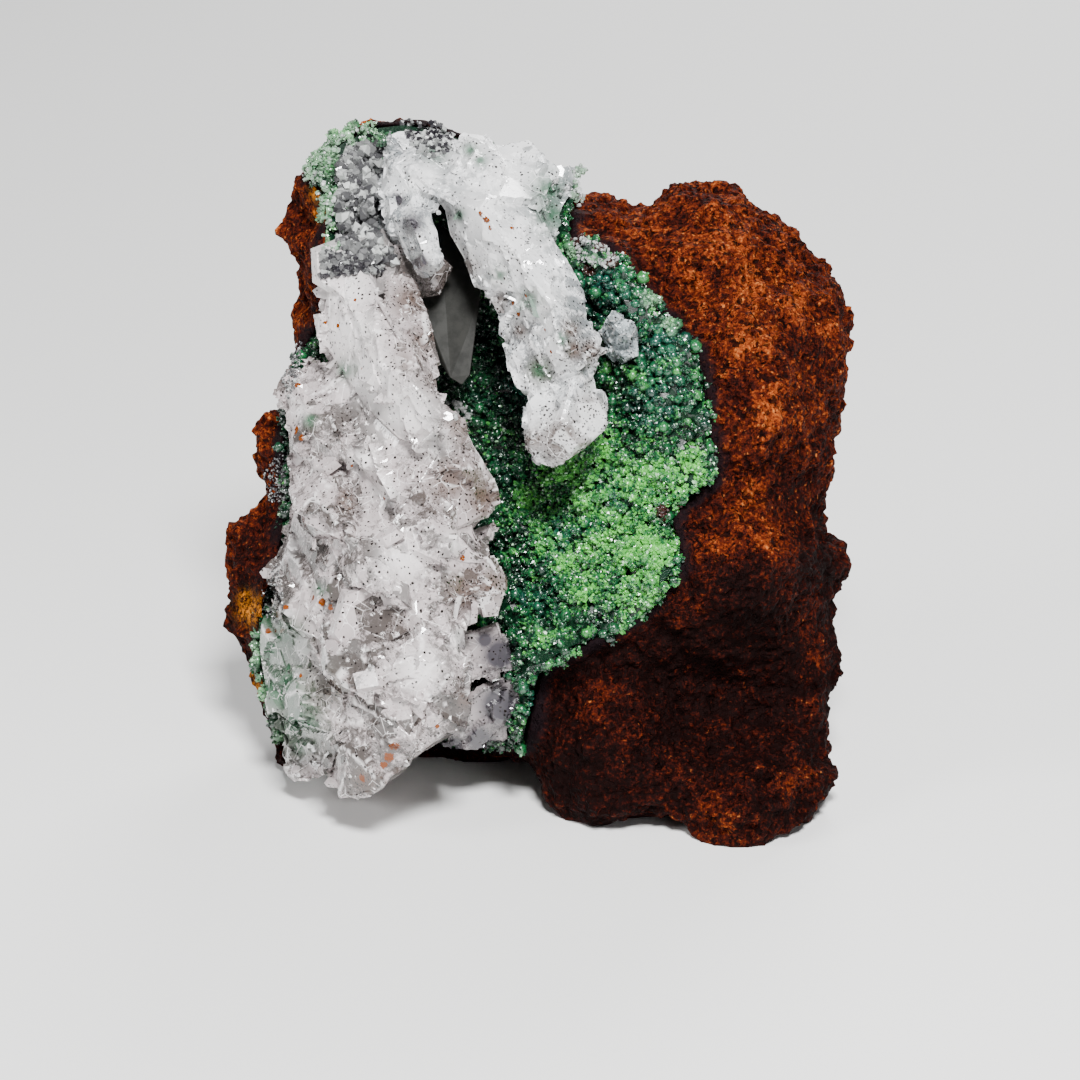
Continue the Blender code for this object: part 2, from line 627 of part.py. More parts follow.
# The see-through grey crystal behind the arm
WINDOW_CRYSTAL = (
    (440, 225, -4), (416, 272, -3), (420, 295, -2), (427, 318, -1), (432, 343, -1), (441, 364, 0),
    (450, 378, 1), (462, 385, 1), (470, 375, 1), (470, 359, 0), (469, 330, 0), (474, 307, -1),
    (481, 292, -1), (475, 250, -3), (440, 250, -10), (455, 240, -9), (450, 360, -6), (440, 320, -8),
)

# Small crystals on the crust, right of the arm: root, tip, width in mm
SMALL_TEETH = (
    ((627, 338, 2), (608, 320, 8), 4.0),
    ((626, 340, 2), (613, 315, 10), 3.4),
    ((624, 338, 2), (645, 324, 9), 4.2),
    ((627, 340, 2), (609, 351, 8), 3.6),
    ((625, 338, 2), (634, 354, 9), 4.4),
    ((626, 338, 2), (627, 328, 11), 4.4),
)

# The grey druse at the upper left of the hollow
DRUSE_OUTLINE = (
    (343, 158), (362, 148), (382, 143), (380, 165), (374, 196), (374, 216), (382, 232), (398, 252),
    (412, 268), (392, 270), (382, 268), (368, 262), (345, 258), (337, 240), (340, 215), (346, 195),
    (338, 176),
)
DRUSE_SPACING = 1.5
DRUSE_HEIGHT = (0.8, 2.6)
DRUSE_BACK = 2.0
DRUSE_TEETH = (
    ((350, 225, -6), (384, 262, 2), 4.0),
    ((345, 235, -5), (366, 266, 2), 4.0),
    ((362, 205, -7), (408, 262, 1), 4.5),
    ((352, 180, -7), (372, 214, 0), 5.0),
    ((350, 160, -7), (360, 184, -1), 4.0),
)


def make_rock():
    """The limonite: a rounded lump, cut by its hollow and cut flat where it rests."""
    outline = resampled(ROCK_OUTLINE, ROCK_GRID)

    def rounding(column):
        share = (column - LEFT_COLUMN) / (RIGHT_COLUMN - LEFT_COLUMN)
        return LEFT_ROUNDING + (RIGHT_ROUNDING - LEFT_ROUNDING) * min(max(2.0 * share - 0.5, 0.0), 1.0)

    rock = lens_body("limonite_matrix", outline, rock_front, rock_back, rock_edge, rounding)
    remesh = rock.modifiers.new("Remesh", "REMESH")
    remesh.mode = "VOXEL"
    remesh.voxel_size = ROCK_VOXEL * MM
    for size, strength in ROCK_NOISE:
        displace = rock.modifiers.new("Grain", "DISPLACE")
        displace.texture = noise_texture("grain", size)
        displace.strength = strength * MM
        displace.mid_level = 0.5
    apply_modifiers(rock)
    decimate = rock.modifiers.new("Decimate", "DECIMATE")
    decimate.ratio = ROCK_TRIANGLES / (2.0 * len(rock.data.polygons))
    apply_modifiers(rock)
    face_outwards(rock)

    floor_inner = scattered(HOLLOW_OUTLINE, FLOOR_SPACING, FLOOR_SEED)
    hollow = sheet_body(
        "hollow", HOLLOW_OUTLINE, lambda x, y: HOLLOW_MOUTH_DEPTH, hollow_floor, [], floor_inner
    )
    combine(rock, "DIFFERENCE", [hollow, ground()])
    keep_largest(rock)
    return rock


def ground():
    """A block below the surface that the specimen rests on."""
    bpy.ops.mesh.primitive_cube_add(size=1.0, location=(0.0, 0.0, -0.5 * GROUND_DEPTH * MM))
    block = bpy.context.active_object
    block.scale = (GROUND_WIDTH * MM, GROUND_WIDTH * MM, GROUND_DEPTH * MM)
    bpy.ops.object.transform_apply(location=True, rotation=False, scale=True)
    return block


def crust_outline():
    """The crust's outline: the hollow's rim, drawn in by the gap and cut off above the rock's base."""
    kept = [p for p in HOLLOW_OUTLINE if p[1] < CRUST_BOTTOM_ROW]
    return resampled(inset(tuple(kept), PIECE_GAP), FLOOR_SPACING)


def crust_places(outline):
    """Places for the crust's face: close together where it shows, wide apart behind the calcite."""
    fine = scattered(outline, CRUST_FINE_SPACING, FINE_SEED)
    coarse = scattered(outline, CRUST_COARSE_SPACING, COARSE_SEED)
    shown = [p for p in fine if p[0] > CRUST_HIDDEN_COLUMN]
    return shown + [p for p in coarse if p[0] <= CRUST_HIDDEN_COLUMN]


def make_crust():
    """The conichalcite: a lumpy sheet over the hollow's floor."""
    outline = crust_outline()
    behind = scattered(outline, FLOOR_SPACING, FLOOR_SEED)
    crust = sheet_body(
        "conichalcite_crust", outline, crust_front, above_floor(CRUST_GAP), crust_places(outline), behind
    )
    keep_largest(crust)
    return crust


def make_keep_out():
    """The space that the crystals leave free: the crust and the rock, each with the gap around it."""
    outline = resampled(inset(HOLLOW_OUTLINE, PIECE_GAP), FLOOR_SPACING)

    def cleared_crust(x, y):
        return crust_front(x, y) + PIECE_GAP * slope_factor(hollow_floor, x, y) + CRUST_CLEARANCE

    crust_side = sheet_body(
        "crust_side", outline, cleared_crust, lambda x, y: BELOW_ALL_DEPTH, crust_places(outline), []
    )
    whole_view = resampled(VIEW_CORNERS, VIEW_CORNER_SPACING)

    def cleared_rock(x, y):
        return rock_front(x, y) + ROCK_CLEARANCE

    rock_side = sheet_body(
        "rock_side",
        whole_view,
        cleared_rock,
        lambda x, y: BELOW_ALL_DEPTH,
        scattered(whole_view, ROCK_SIDE_SPACING, ROCK_SIDE_SEED),
        [],
    )
    free = sheet_body(
        "free",
        inset(HOLLOW_OUTLINE, PIECE_GAP + RIM_OVERLAP),
        lambda x, y: HOLLOW_MOUTH_DEPTH,
        lambda x, y: BELOW_ALL_DEPTH - OVERSHOOT,
        [],
        [],
    )
    combine(rock_side, "DIFFERENCE", [free])
    return crust_side, rock_side


def grown_together(name, crystals, keep_out):
    """One solid of several crystals, cut clear of the crust and the rock."""
    body = combine(crystals[0], "UNION", crystals[1:])
    body.name = name
    body.data.name = name
    for side in keep_out:
        cut_by(body, side)
    keep_largest(body)
    return body


def make_left_cluster(keep_out):
    """The large white mass of calcite."""
    blocks = (
        UPPER_BLOCK, MIDDLE_BLOCK, LOWER_BLOCK, BOTTOM_TIP, WHITE_BLADE, SPECKLED_SIDE, PINK_RIDGE,
        GREY_UPPER, GREY_LOWER, SMALL_WEDGE,
    )
    crystals = [hull(corners) for corners in blocks]
    crystals += [tooth(root, tip, width, 0.4 * i) for i, (root, tip, width) in enumerate(MASS_TEETH)]
    return grown_together("calcite_left_cluster", crystals, keep_out)


def druse_sheet():
    """The grey druse's ground: a spiky sheet on the crust."""
    rng = np.random.default_rng(DRUSE_HEIGHT_SEED)
    inner = scattered(DRUSE_OUTLINE, DRUSE_SPACING, DRUSE_PLACE_SEED)
    heights = {place: rng.uniform(*DRUSE_HEIGHT) for place in inner}

    def spiky(x, y):
        return crust_front(x, y) + heights.get((x, y), DRUSE_HEIGHT[0])

    def behind(x, y):
        return crust_front(x, y) - DRUSE_BACK

    return sheet_body("druse", DRUSE_OUTLINE, spiky, behind, inner, [])


def make_arm(keep_out):
    """The calcite of the roof: the druse, the hanging crystal and the arm across the hollow."""
    blocks = (
        UPPER_ARM, ROOF_MASS, LOWER_ARM, ARM_TIP, ROOF_SPIKE, CLEAR_SHOULDER, LEFT_RIDGE, HANGING_CRYSTAL,
    )
    teeth = ARM_TEETH + DRUSE_TEETH
    crystals = [hull(corners) for corners in blocks] + [druse_sheet()]
    crystals += [tooth(root, tip, width, 0.7 * i) for i, (root, tip, width) in enumerate(teeth)]
    return grown_together("calcite_hanging_arm", crystals, keep_out)


def main():
    for obj in list(bpy.data.objects):
        bpy.data.objects.remove(obj)

    rock = make_rock()
    crust = make_crust()
    keep_out = make_keep_out()
    left_cluster = make_left_cluster(keep_out)
    arm = make_arm(keep_out)
    window = grown_together("calcite_window_crystal", [hull(WINDOW_CRYSTAL)], keep_out)
    small = grown_together(
        "calcite_small_cluster",
        [tooth(root, tip, width, 0.5 * i) for i, (root, tip, width) in enumerate(SMALL_TEETH)],
        keep_out,
    )
    for side in keep_out:
        bpy.data.objects.remove(side)

    rock.data.materials.append(material("limonite", (0.16, 0.035, 0.015), 0.85))
    crust.data.materials.append(material("conichalcite", (0.03, 0.30, 0.08), 0.35))
    white = material("white_calcite", (0.78, 0.75, 0.72), 0.3)
    for obj in (left_cluster, arm, small):
        obj.data.materials.append(white)
    window.data.materials.append(material("clear_calcite", (0.45, 0.46, 0.44), 0.15, 0.8))


main()
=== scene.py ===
"""Looks of a small cabinet mineral specimen: green conichalcite and white calcite in a hollow of limonite.

The solids give every main form. Here the rock gets its granular skin, the crust its round grains, the calcite
its stepped faces and small crystals, and each of them its finish.
"""

import logging
import math
from dataclasses import dataclass, field
from enum import Enum
from itertools import product
from typing import Callable, Iterable, Iterator, Sequence

import bmesh
import bpy
import numpy as np
from mathutils import Matrix, Quaternion, Vector, noise
from mathutils.bvhtree import BVHTree
from mathutils.kdtree import KDTree


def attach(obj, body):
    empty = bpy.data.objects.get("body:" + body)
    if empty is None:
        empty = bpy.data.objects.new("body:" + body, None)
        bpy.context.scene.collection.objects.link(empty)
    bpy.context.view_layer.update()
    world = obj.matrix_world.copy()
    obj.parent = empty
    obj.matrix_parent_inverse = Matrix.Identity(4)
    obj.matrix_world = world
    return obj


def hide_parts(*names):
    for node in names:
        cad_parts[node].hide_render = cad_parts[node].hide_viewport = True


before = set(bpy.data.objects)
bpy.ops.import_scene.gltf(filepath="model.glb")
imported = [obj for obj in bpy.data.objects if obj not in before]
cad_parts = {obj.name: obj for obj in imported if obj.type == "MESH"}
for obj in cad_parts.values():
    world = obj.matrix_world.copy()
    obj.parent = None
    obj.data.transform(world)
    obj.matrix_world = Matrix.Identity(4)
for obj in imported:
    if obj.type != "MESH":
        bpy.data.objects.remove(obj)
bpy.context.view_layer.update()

logging.basicConfig(level=logging.INFO, format="%(message)s")
LOG = logging.getLogger("specimen")

MM = 0.001
MERGE_DISTANCE = 1e-6
LEAST_EDGE = 2e-7
MOST_DIVISIONS = 12
WEIGHT_STEPS = 20
ZONE_FALL_OFF = 1.4

Colour = tuple[float, float, float]
Spot = tuple[float, float, float]


class Node(str, Enum):
    """The solids of the specimen."""

    ROCK = "limonite_matrix"
    CRUST = "conichalcite_crust"
    MASS = "calcite_left_cluster"
    ARM = "calcite_hanging_arm"
    WINDOW = "calcite_window_crystal"
    SMALL = "calcite_small_cluster"


@dataclass(frozen=True)
class DisplayView:
    """The view that the specimen is shown from, and its map from columns and rows to places.

    A column and a row are given in view units, a tenth of a millimetre each at the middle of the specimen,
    and a depth in millimetres towards the viewer.
    """

    middle: tuple[float, float, float] = (0.38 * MM, -2.85 * MM, 24.9 * MM)
    elevation: float = math.radians(20.0)
    distance: float = 450.0 * MM
    unit: float = 0.1 * MM
    centre: float = 540.0
    lens: float = 150.0
    sensor: float = 36.0

    @property
    def right(self) -> Vector:
        """The direction of rising columns."""
        return Vector((1.0, 0.0, 0.0))

    @property
    def up(self) -> Vector:
        """The direction of falling rows."""
        return Vector((0.0, math.sin(self.elevation), math.cos(self.elevation)))

    @property
    def towards(self) -> Vector:
        """The direction towards the viewer."""
        return Vector((0.0, -math.cos(self.elevation), math.sin(self.elevation)))

    @property
    def eye(self) -> Vector:
        """The viewer's place."""
        return Vector(self.middle) + self.towards * self.distance

    def place(self, column: float, row: float, depth: float) -> Vector:
        """The point that shows at a column and a row, at a depth.

        Args:
            column: Column of the view.
            row: Row of the view.
            depth: Millimetres towards the viewer from the middle plane.

        Returns:
            The point in the specimen's frame, in metres.
        """
        shrink = (self.distance - depth * MM) / self.distance
        across = (column - self.centre) * self.unit * shrink
        rise = (self.centre - row) * self.unit * shrink
        return Vector(self.middle) + self.right * across + self.up * rise + self.towards * depth * MM

    def meets(self, tree: BVHTree, column: float, row: float) -> Vector:
        """The first place of some surfaces that shows at a column and a row.

        Args:
            tree: The surfaces.
            column: Column of the view.
            row: Row of the view.

        Returns:
            The place, or the one in the middle plane where nothing shows.
        """
        flat = self.place(column, row, 0.0)
        found = tree.ray_cast(self.eye, (flat - self.eye).normalized())[0]
        return flat if found is None else found

    def seen_at(self, points: np.ndarray) -> np.ndarray:
        """Where points show.

        Args:
            points: Rows of x, y, z in metres.

        Returns:
            Rows of column, row and depth in millimetres.
        """
        away = points - np.array(self.middle)
        depth = away @ np.array(self.towards)
        grow = self.distance / (self.distance - depth) / self.unit
        columns = self.centre + away @ np.array(self.right) * grow
        rows = self.centre - away @ np.array(self.up) * grow
        return np.stack((columns, rows, depth / MM), axis=1)


VIEW = DisplayView()


def zone_mask(seen: np.ndarray, spots: Iterable[Spot]) -> np.ndarray:
    """How much each point lies in soft round zones of the view.

    Args:
        seen: Rows of column, row and depth.
        spots: Zones as column, row and radius.

    Returns:
        One value for each point, 1 at a zone's middle and 0 well outside.
    """
    mask = np.zeros(len(seen))
    for column, row, radius in spots:
        away = np.hypot(seen[:, 0] - column, seen[:, 1] - row) / radius
        mask = np.maximum(mask, np.exp(-ZONE_FALL_OFF * away**2))
    return mask


def inside_polygon(column: float, row: float, outline: Sequence[tuple[float, float]]) -> bool:
    """Whether a place of the view lies inside an outline.

    Args:
        column: Column of the view.
        row: Row of the view.
        outline: The outline's corners as columns and rows.

    Returns:
        True for a place inside it.
    """
    inside = False
    for (x1, y1), (x2, y2) in zip(outline, tuple(outline[1:]) + tuple(outline[:1])):
        if (y1 > row) != (y2 > row) and column < (x2 - x1) * (row - y1) / (y2 - y1) + x1:
            inside = not inside
    return inside


def only(piece: bpy.types.Object) -> None:
    """Selects one object alone and makes it the active one.

    Args:
        piece: The object.
    """
    bpy.ops.object.select_all(action="DESELECT")
    bpy.context.view_layer.objects.active = piece
    piece.select_set(True)


def link_mesh(name: str, mesh: bpy.types.Mesh) -> bpy.types.Object:
    """Makes an object of a mesh and links it to the scene.

    Args:
        name: The object's name.
        mesh: Its mesh.

    Returns:
        The object.
    """
    piece = bpy.data.objects.new(name, mesh)
    bpy.context.scene.collection.objects.link(piece)
    return piece


def copy_of_node(node: Node, name: str) -> bpy.types.Object:
    """Makes a merged copy of a solid, ready to be shaped.

    Args:
        node: The solid.
        name: The copy's name.

    Returns:
        The copy, as one closed mesh.
    """
    piece = link_mesh(name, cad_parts[node.value].data.copy())
    piece.data.materials.clear()
    only(piece)
    bpy.ops.object.mode_set(mode="EDIT")
    bpy.ops.mesh.select_all(action="SELECT")
    bpy.ops.mesh.remove_doubles(threshold=MERGE_DISTANCE)
    bpy.ops.mesh.customdata_custom_splitnormals_clear()
    bpy.ops.mesh.normals_make_consistent(inside=False)
    bpy.ops.object.mode_set(mode="OBJECT")
    return piece


def split_long_edges(piece: bpy.types.Object, longest: float) -> None:
    """Divides every edge that is longer than a length, so that faces stay flat and small.

    Args:
        piece: The object to divide.
        longest: The greatest edge length left, in metres.
    """
    shape = bmesh.new()
    shape.from_mesh(piece.data)
    bmesh.ops.triangulate(shape, faces=shape.faces)
    for _ in range(MOST_DIVISIONS):
        long = [edge for edge in shape.edges if edge.calc_length() > longest]
        if not long:
            break
        bmesh.ops.subdivide_edges(shape, edges=long, cuts=1)
        bmesh.ops.triangulate(shape, faces=shape.faces)
    shape.to_mesh(piece.data)
    shape.free()


def drop_flat_faces(piece: bpy.types.Object) -> None:
    """Takes the faces and edges of no size out of an object.

    Args:
        piece: The object.
    """
    shape = bmesh.new()
    shape.from_mesh(piece.data)
    bmesh.ops.dissolve_degenerate(shape, dist=LEAST_EDGE, edges=shape.edges)
    bmesh.ops.triangulate(shape, faces=shape.faces)
    shape.to_mesh(piece.data)
    shape.free()
    piece.data.validate()


def vertex_places(mesh: bpy.types.Mesh) -> np.ndarray:
    """The vertices of a mesh.

    Args:
        mesh: The mesh.

    Returns:
        Rows of x, y, z.
    """
    places = np.empty(len(mesh.vertices) * 3)
    mesh.vertices.foreach_get("co", places)
    return places.reshape(-1, 3)


def vertex_normals(mesh: bpy.types.Mesh) -> np.ndarray:
    """The vertex normals of a mesh.

    Args:
        mesh: The mesh.

    Returns:
        Rows of x, y, z.
    """
    normals = np.empty(len(mesh.vertices) * 3)
    mesh.vertices.foreach_get("normal", normals)
    return normals.reshape(-1, 3)


def store(mesh: bpy.types.Mesh, name: str, values: np.ndarray) -> None:
    """Keeps one value for each vertex as an attribute that a finish reads."""
    attribute = mesh.attributes.get(name) or mesh.attributes.new(name, "FLOAT", "POINT")
    attribute.data.foreach_set("value", np.asarray(values, dtype=np.float32))


def vertex_group(piece: bpy.types.Object, name: str, weights: np.ndarray) -> None:
    """Makes a vertex group with one weight for each vertex.

    Args:
        piece: The object.
        name: The group's name.
        weights: The weights, from 0 to 1.
    """
    group = piece.vertex_groups.new(name=name)
    levels = np.round(np.clip(weights, 0.0, 1.0) * WEIGHT_STEPS).astype(int)
    for level in range(WEIGHT_STEPS + 1):
        members = np.nonzero(levels == level)[0].tolist()
        group.add(members, level / WEIGHT_STEPS, "REPLACE")


def apply_all(piece: bpy.types.Object) -> None:
    """Applies an object's modifiers from the top down.

    Args:
        piece: The object.
    """
    only(piece)
    for modifier in list(piece.modifiers):
        bpy.ops.object.modifier_apply(modifier=modifier.name)


def surface_tree(pieces: Iterable[bpy.types.Object]) -> BVHTree:
    """A search tree over the faces of several objects.

    Args:
        pieces: The objects.

    Returns:
        The tree.
    """
    places: list = []
    faces: list = []
    for piece in pieces:
        start = len(places)
        places += [vertex.co.copy() for vertex in piece.data.vertices]
        faces += [[start + index for index in polygon.vertices] for polygon in piece.data.polygons]
    return BVHTree.FromPolygons(places, faces)


def distances(places: np.ndarray, tree: BVHTree, farthest: float) -> np.ndarray:
    """The distance from each place to the nearest face of a tree.

    Args:
        places: Rows of x, y, z in metres.
        tree: The faces.
        farthest: The distance given where no face is nearer.

    Returns:
        One distance for each place.
    """
    found = np.full(len(places), farthest)
    for i, place in enumerate(places):
        nearest = tree.find_nearest(Vector(place), farthest)
        if nearest[0] is not None:
            found[i] = nearest[3]
    return found


def smooth_step(values: np.ndarray, low: float, high: float) -> np.ndarray:
    """A soft step of values from 0 at low to 1 at high."""
    share = np.clip((values - low) / (high - low), 0.0, 1.0)
    return share * share * (3.0 - 2.0 * share)


def patches(places: np.ndarray, size: float, seed: float = 0.0) -> np.ndarray:
    """Smooth noise between 0 and 1 at each place.

    Args:
        places: Rows of x, y, z in metres.
        size: The size of the patches in metres.
        seed: A shift that gives another pattern.

    Returns:
        One value for each place.
    """
    shift = Vector((seed, seed * 1.7, -seed))
    return np.array([0.5 + 0.5 * noise.noise(Vector(place) / size + shift) for place in places])


@dataclass(frozen=True)
class Relief:
    """One layer of relief: a procedural texture that pushes a surface along its normals."""

    kind: str
    size: float
    height: float
    hard: bool = False
    depth: int = 2

    def texture(self) -> bpy.types.Texture:
        """The layer's texture.

        Returns:
            The texture.
        """
        made = bpy.data.textures.new(f"relief_{self.kind.lower()}", self.kind)
        made.noise_scale = self.size
        if self.kind == "CLOUDS":
            made.noise_depth = self.depth
            made.noise_type = "HARD_NOISE" if self.hard else "SOFT_NOISE"
        return made

    def add(self, piece: bpy.types.Object, group: str) -> None:
        """Adds the layer to an object as a Displace modifier.

        Args:
            piece: The object.
            group: The vertex group that weakens the relief.
        """
        modifier = piece.modifiers.new("Relief", "DISPLACE")
        modifier.texture = self.texture()
        modifier.strength = self.height
        modifier.mid_level = 0.5
        modifier.vertex_group = group


@dataclass
class Stamp:
    """A small shape that is copied many times into one mesh."""

    places: np.ndarray
    faces: np.ndarray

    @classmethod
    def from_object(cls, source: bpy.types.Object) -> "Stamp":
        """Takes the triangles of an object, and removes the object.

        Args:
            source: The object.

        Returns:
            The shape.
        """
        source.data.calc_loop_triangles()
        places = vertex_places(source.data)
        faces = np.array([list(triangle.vertices) for triangle in source.data.loop_triangles])
        bpy.data.objects.remove(source)
        return cls(places, faces)

    def joined(
        self, name: str, transforms: Sequence[Matrix], values: dict[str, np.ndarray]
    ) -> bpy.types.Object:
        """Copies the shape to each transform, in one mesh.

        Args:
            name: The new object's name.
            transforms: Where each copy goes.
            values: Attributes to keep, with one value for each copy.

        Returns:
            The new object.
        """
        count = len(self.places)
        stacked = np.array([np.array(transform) for transform in transforms])
        whole = np.concatenate((self.places, np.ones((count, 1))), axis=1)
        spread = np.einsum("nij,kj->nki", stacked, whole)[:, :, :3].reshape(-1, 3)
        faces = (self.faces[None] + (np.arange(len(transforms)) * count)[:, None, None]).reshape(-1, 3)
        mesh = bpy.data.meshes.new(name)
        mesh.vertices.add(len(spread))
        mesh.vertices.foreach_set("co", spread.reshape(-1))
        mesh.loops.add(faces.size)
        mesh.loops.foreach_set("vertex_index", faces.reshape(-1))
        mesh.polygons.add(len(faces))
        mesh.polygons.foreach_set("loop_start", np.arange(0, faces.size, 3))
        mesh.polygons.foreach_set("use_smooth", np.zeros(len(faces), dtype=bool))
        mesh.update(calc_edges=True)
        for attribute, each in values.items():
            store(mesh, attribute, np.repeat(each, count))
        return link_mesh(name, mesh)


def aimed(place: Vector, axis: Vector, spin: float, scale: Sequence[float]) -> Matrix:
    """A transform that stands a shape's Z along an axis.

    Args:
        place: Where the shape's origin goes.
        axis: The direction of its Z.
        spin: Its turn about that axis, in radians.
        scale: Its scale along its own X, Y and Z.

    Returns:
        The transform.
    """
    turn = axis.to_track_quat("Z", "Y").to_matrix().to_4x4() @ Matrix.Rotation(spin, 4, "Z")
    return Matrix.Translation(place) @ turn @ Matrix.Diagonal((*scale, 1.0))


def random_places(
    mesh: bpy.types.Mesh, count: int, rng: np.random.Generator
) -> Iterator[tuple[np.ndarray, Vector]]:
    """Draws places evenly over a mesh.

    Args:
        mesh: The mesh.
        count: How many places are drawn.
        rng: The random draws.

    Yields:
        Each place with its face's normal.
    """
    mesh.calc_loop_triangles()
    corners = vertex_places(mesh)[np.array([list(t.vertices) for t in mesh.loop_triangles])]
    along = corners[:, 1] - corners[:, 0]
    across = corners[:, 2] - corners[:, 0]
    normals = np.cross(along, across)
    areas = np.linalg.norm(normals, axis=1)
    picks = rng.choice(len(corners), size=count, p=areas / areas.sum())
    first, second = rng.random(count), rng.random(count)
    over = first + second > 1.0
    first[over], second[over] = 1.0 - first[over], 1.0 - second[over]
    places = corners[picks, 0] + first[:, None] * along[picks] + second[:, None] * across[picks]
    for place, pick in zip(places, picks):
        yield place, Vector(normals[pick]).normalized()


def spread_over(
    piece: bpy.types.Object, count: int, spacing: float, seed: int, keep: Callable[[Vector, Vector], bool]
) -> list[tuple[Vector, Vector]]:
    """Scatters places over a surface, no two closer than a spacing.

    Args:
        piece: The object that carries them.
        count: How many places are tried.
        spacing: The least distance between two places, in metres.
        seed: The seed of the random draws.
        keep: Says of a place and its normal whether it may stay.

    Returns:
        Each place with the surface's normal.
    """
    taken: dict[tuple[int, ...], list[Vector]] = {}
    kept = []
    for spot, normal in random_places(piece.data, count, np.random.default_rng(seed)):
        place = Vector(spot)
        cell = tuple(int(math.floor(value / spacing)) for value in spot)
        around = (
            other
            for step in product((-1, 0, 1), repeat=3)
            for other in taken.get(tuple(c + s for c, s in zip(cell, step)), ())
        )
        if any((other - place).length < spacing for other in around) or not keep(place, normal):
            continue
        taken.setdefault(cell, []).append(place)
        kept.append((place, normal))
    return kept


def shaken(shake: float, evenness: float, seed: int) -> Stamp:
    """Moves the corners of the new shape at hand by chance.

    Args:
        shake: How far the corners are moved.
        evenness: How alike the moves are.
        seed: The seed of the moves.

    Returns:
        The shape, ready to copy.
    """
    shape = bpy.context.active_object
    bpy.ops.object.mode_set(mode="EDIT")
    bpy.ops.mesh.select_all(action="SELECT")
    bpy.ops.transform.vertex_random(offset=shake, uniform=evenness, seed=seed)
    bpy.ops.object.mode_set(mode="OBJECT")
    return Stamp.from_object(shape)


def new_grain(shake: float, seed: int) -> Stamp:
    """A small uneven grain of twenty faces, one unit in radius.

    Args:
        shake: How far its corners are moved.
        seed: The seed of the shaking.

    Returns:
        The grain as a shape to copy.
    """
    bpy.ops.object.select_all(action="DESELECT")
    bpy.ops.mesh.primitive_ico_sphere_add(subdivisions=1, radius=1.0)
    return shaken(shake, 0.5, seed)


def new_chip(shake: float, seed: int) -> Stamp:
    """A tiny pointed chip of sixteen faces, one unit from middle to tip.

    Args:
        shake: How far its corners are moved.
        seed: The seed of the shaking.

    Returns:
        The chip as a shape to copy.
    """
    bpy.ops.object.select_all(action="DESELECT")
    bpy.ops.mesh.primitive_uv_sphere_add(segments=4, ring_count=2, radius=1.0)
    return shaken(shake, 0.6, seed)


def new_plate(sides: int, taper: float, thickness: float) -> Stamp:
    """The end of a calcite crystal: a flat face with sloping sides below it, one unit from middle to corner.

    Args:
        sides: How many corners the face has.
        taper: The face's radius beside that of its root.
        thickness: How far the root lies below the face.

    Returns:
        The plate as a shape to copy, with its face at the origin across Z.
    """
    bpy.ops.object.select_all(action="DESELECT")
    bpy.ops.mesh.primitive_cone_add(
        vertices=sides, radius1=1.0 / taper, radius2=1.0, depth=thickness,
        location=(0.0, 0.0, -thickness / 2.0), rotation=(0.0, 0.0, math.pi / 2.0),
    )
    plate = bpy.context.active_object
    bpy.ops.object.transform_apply(location=True, rotation=True, scale=False)
    return Stamp.from_object(plate)


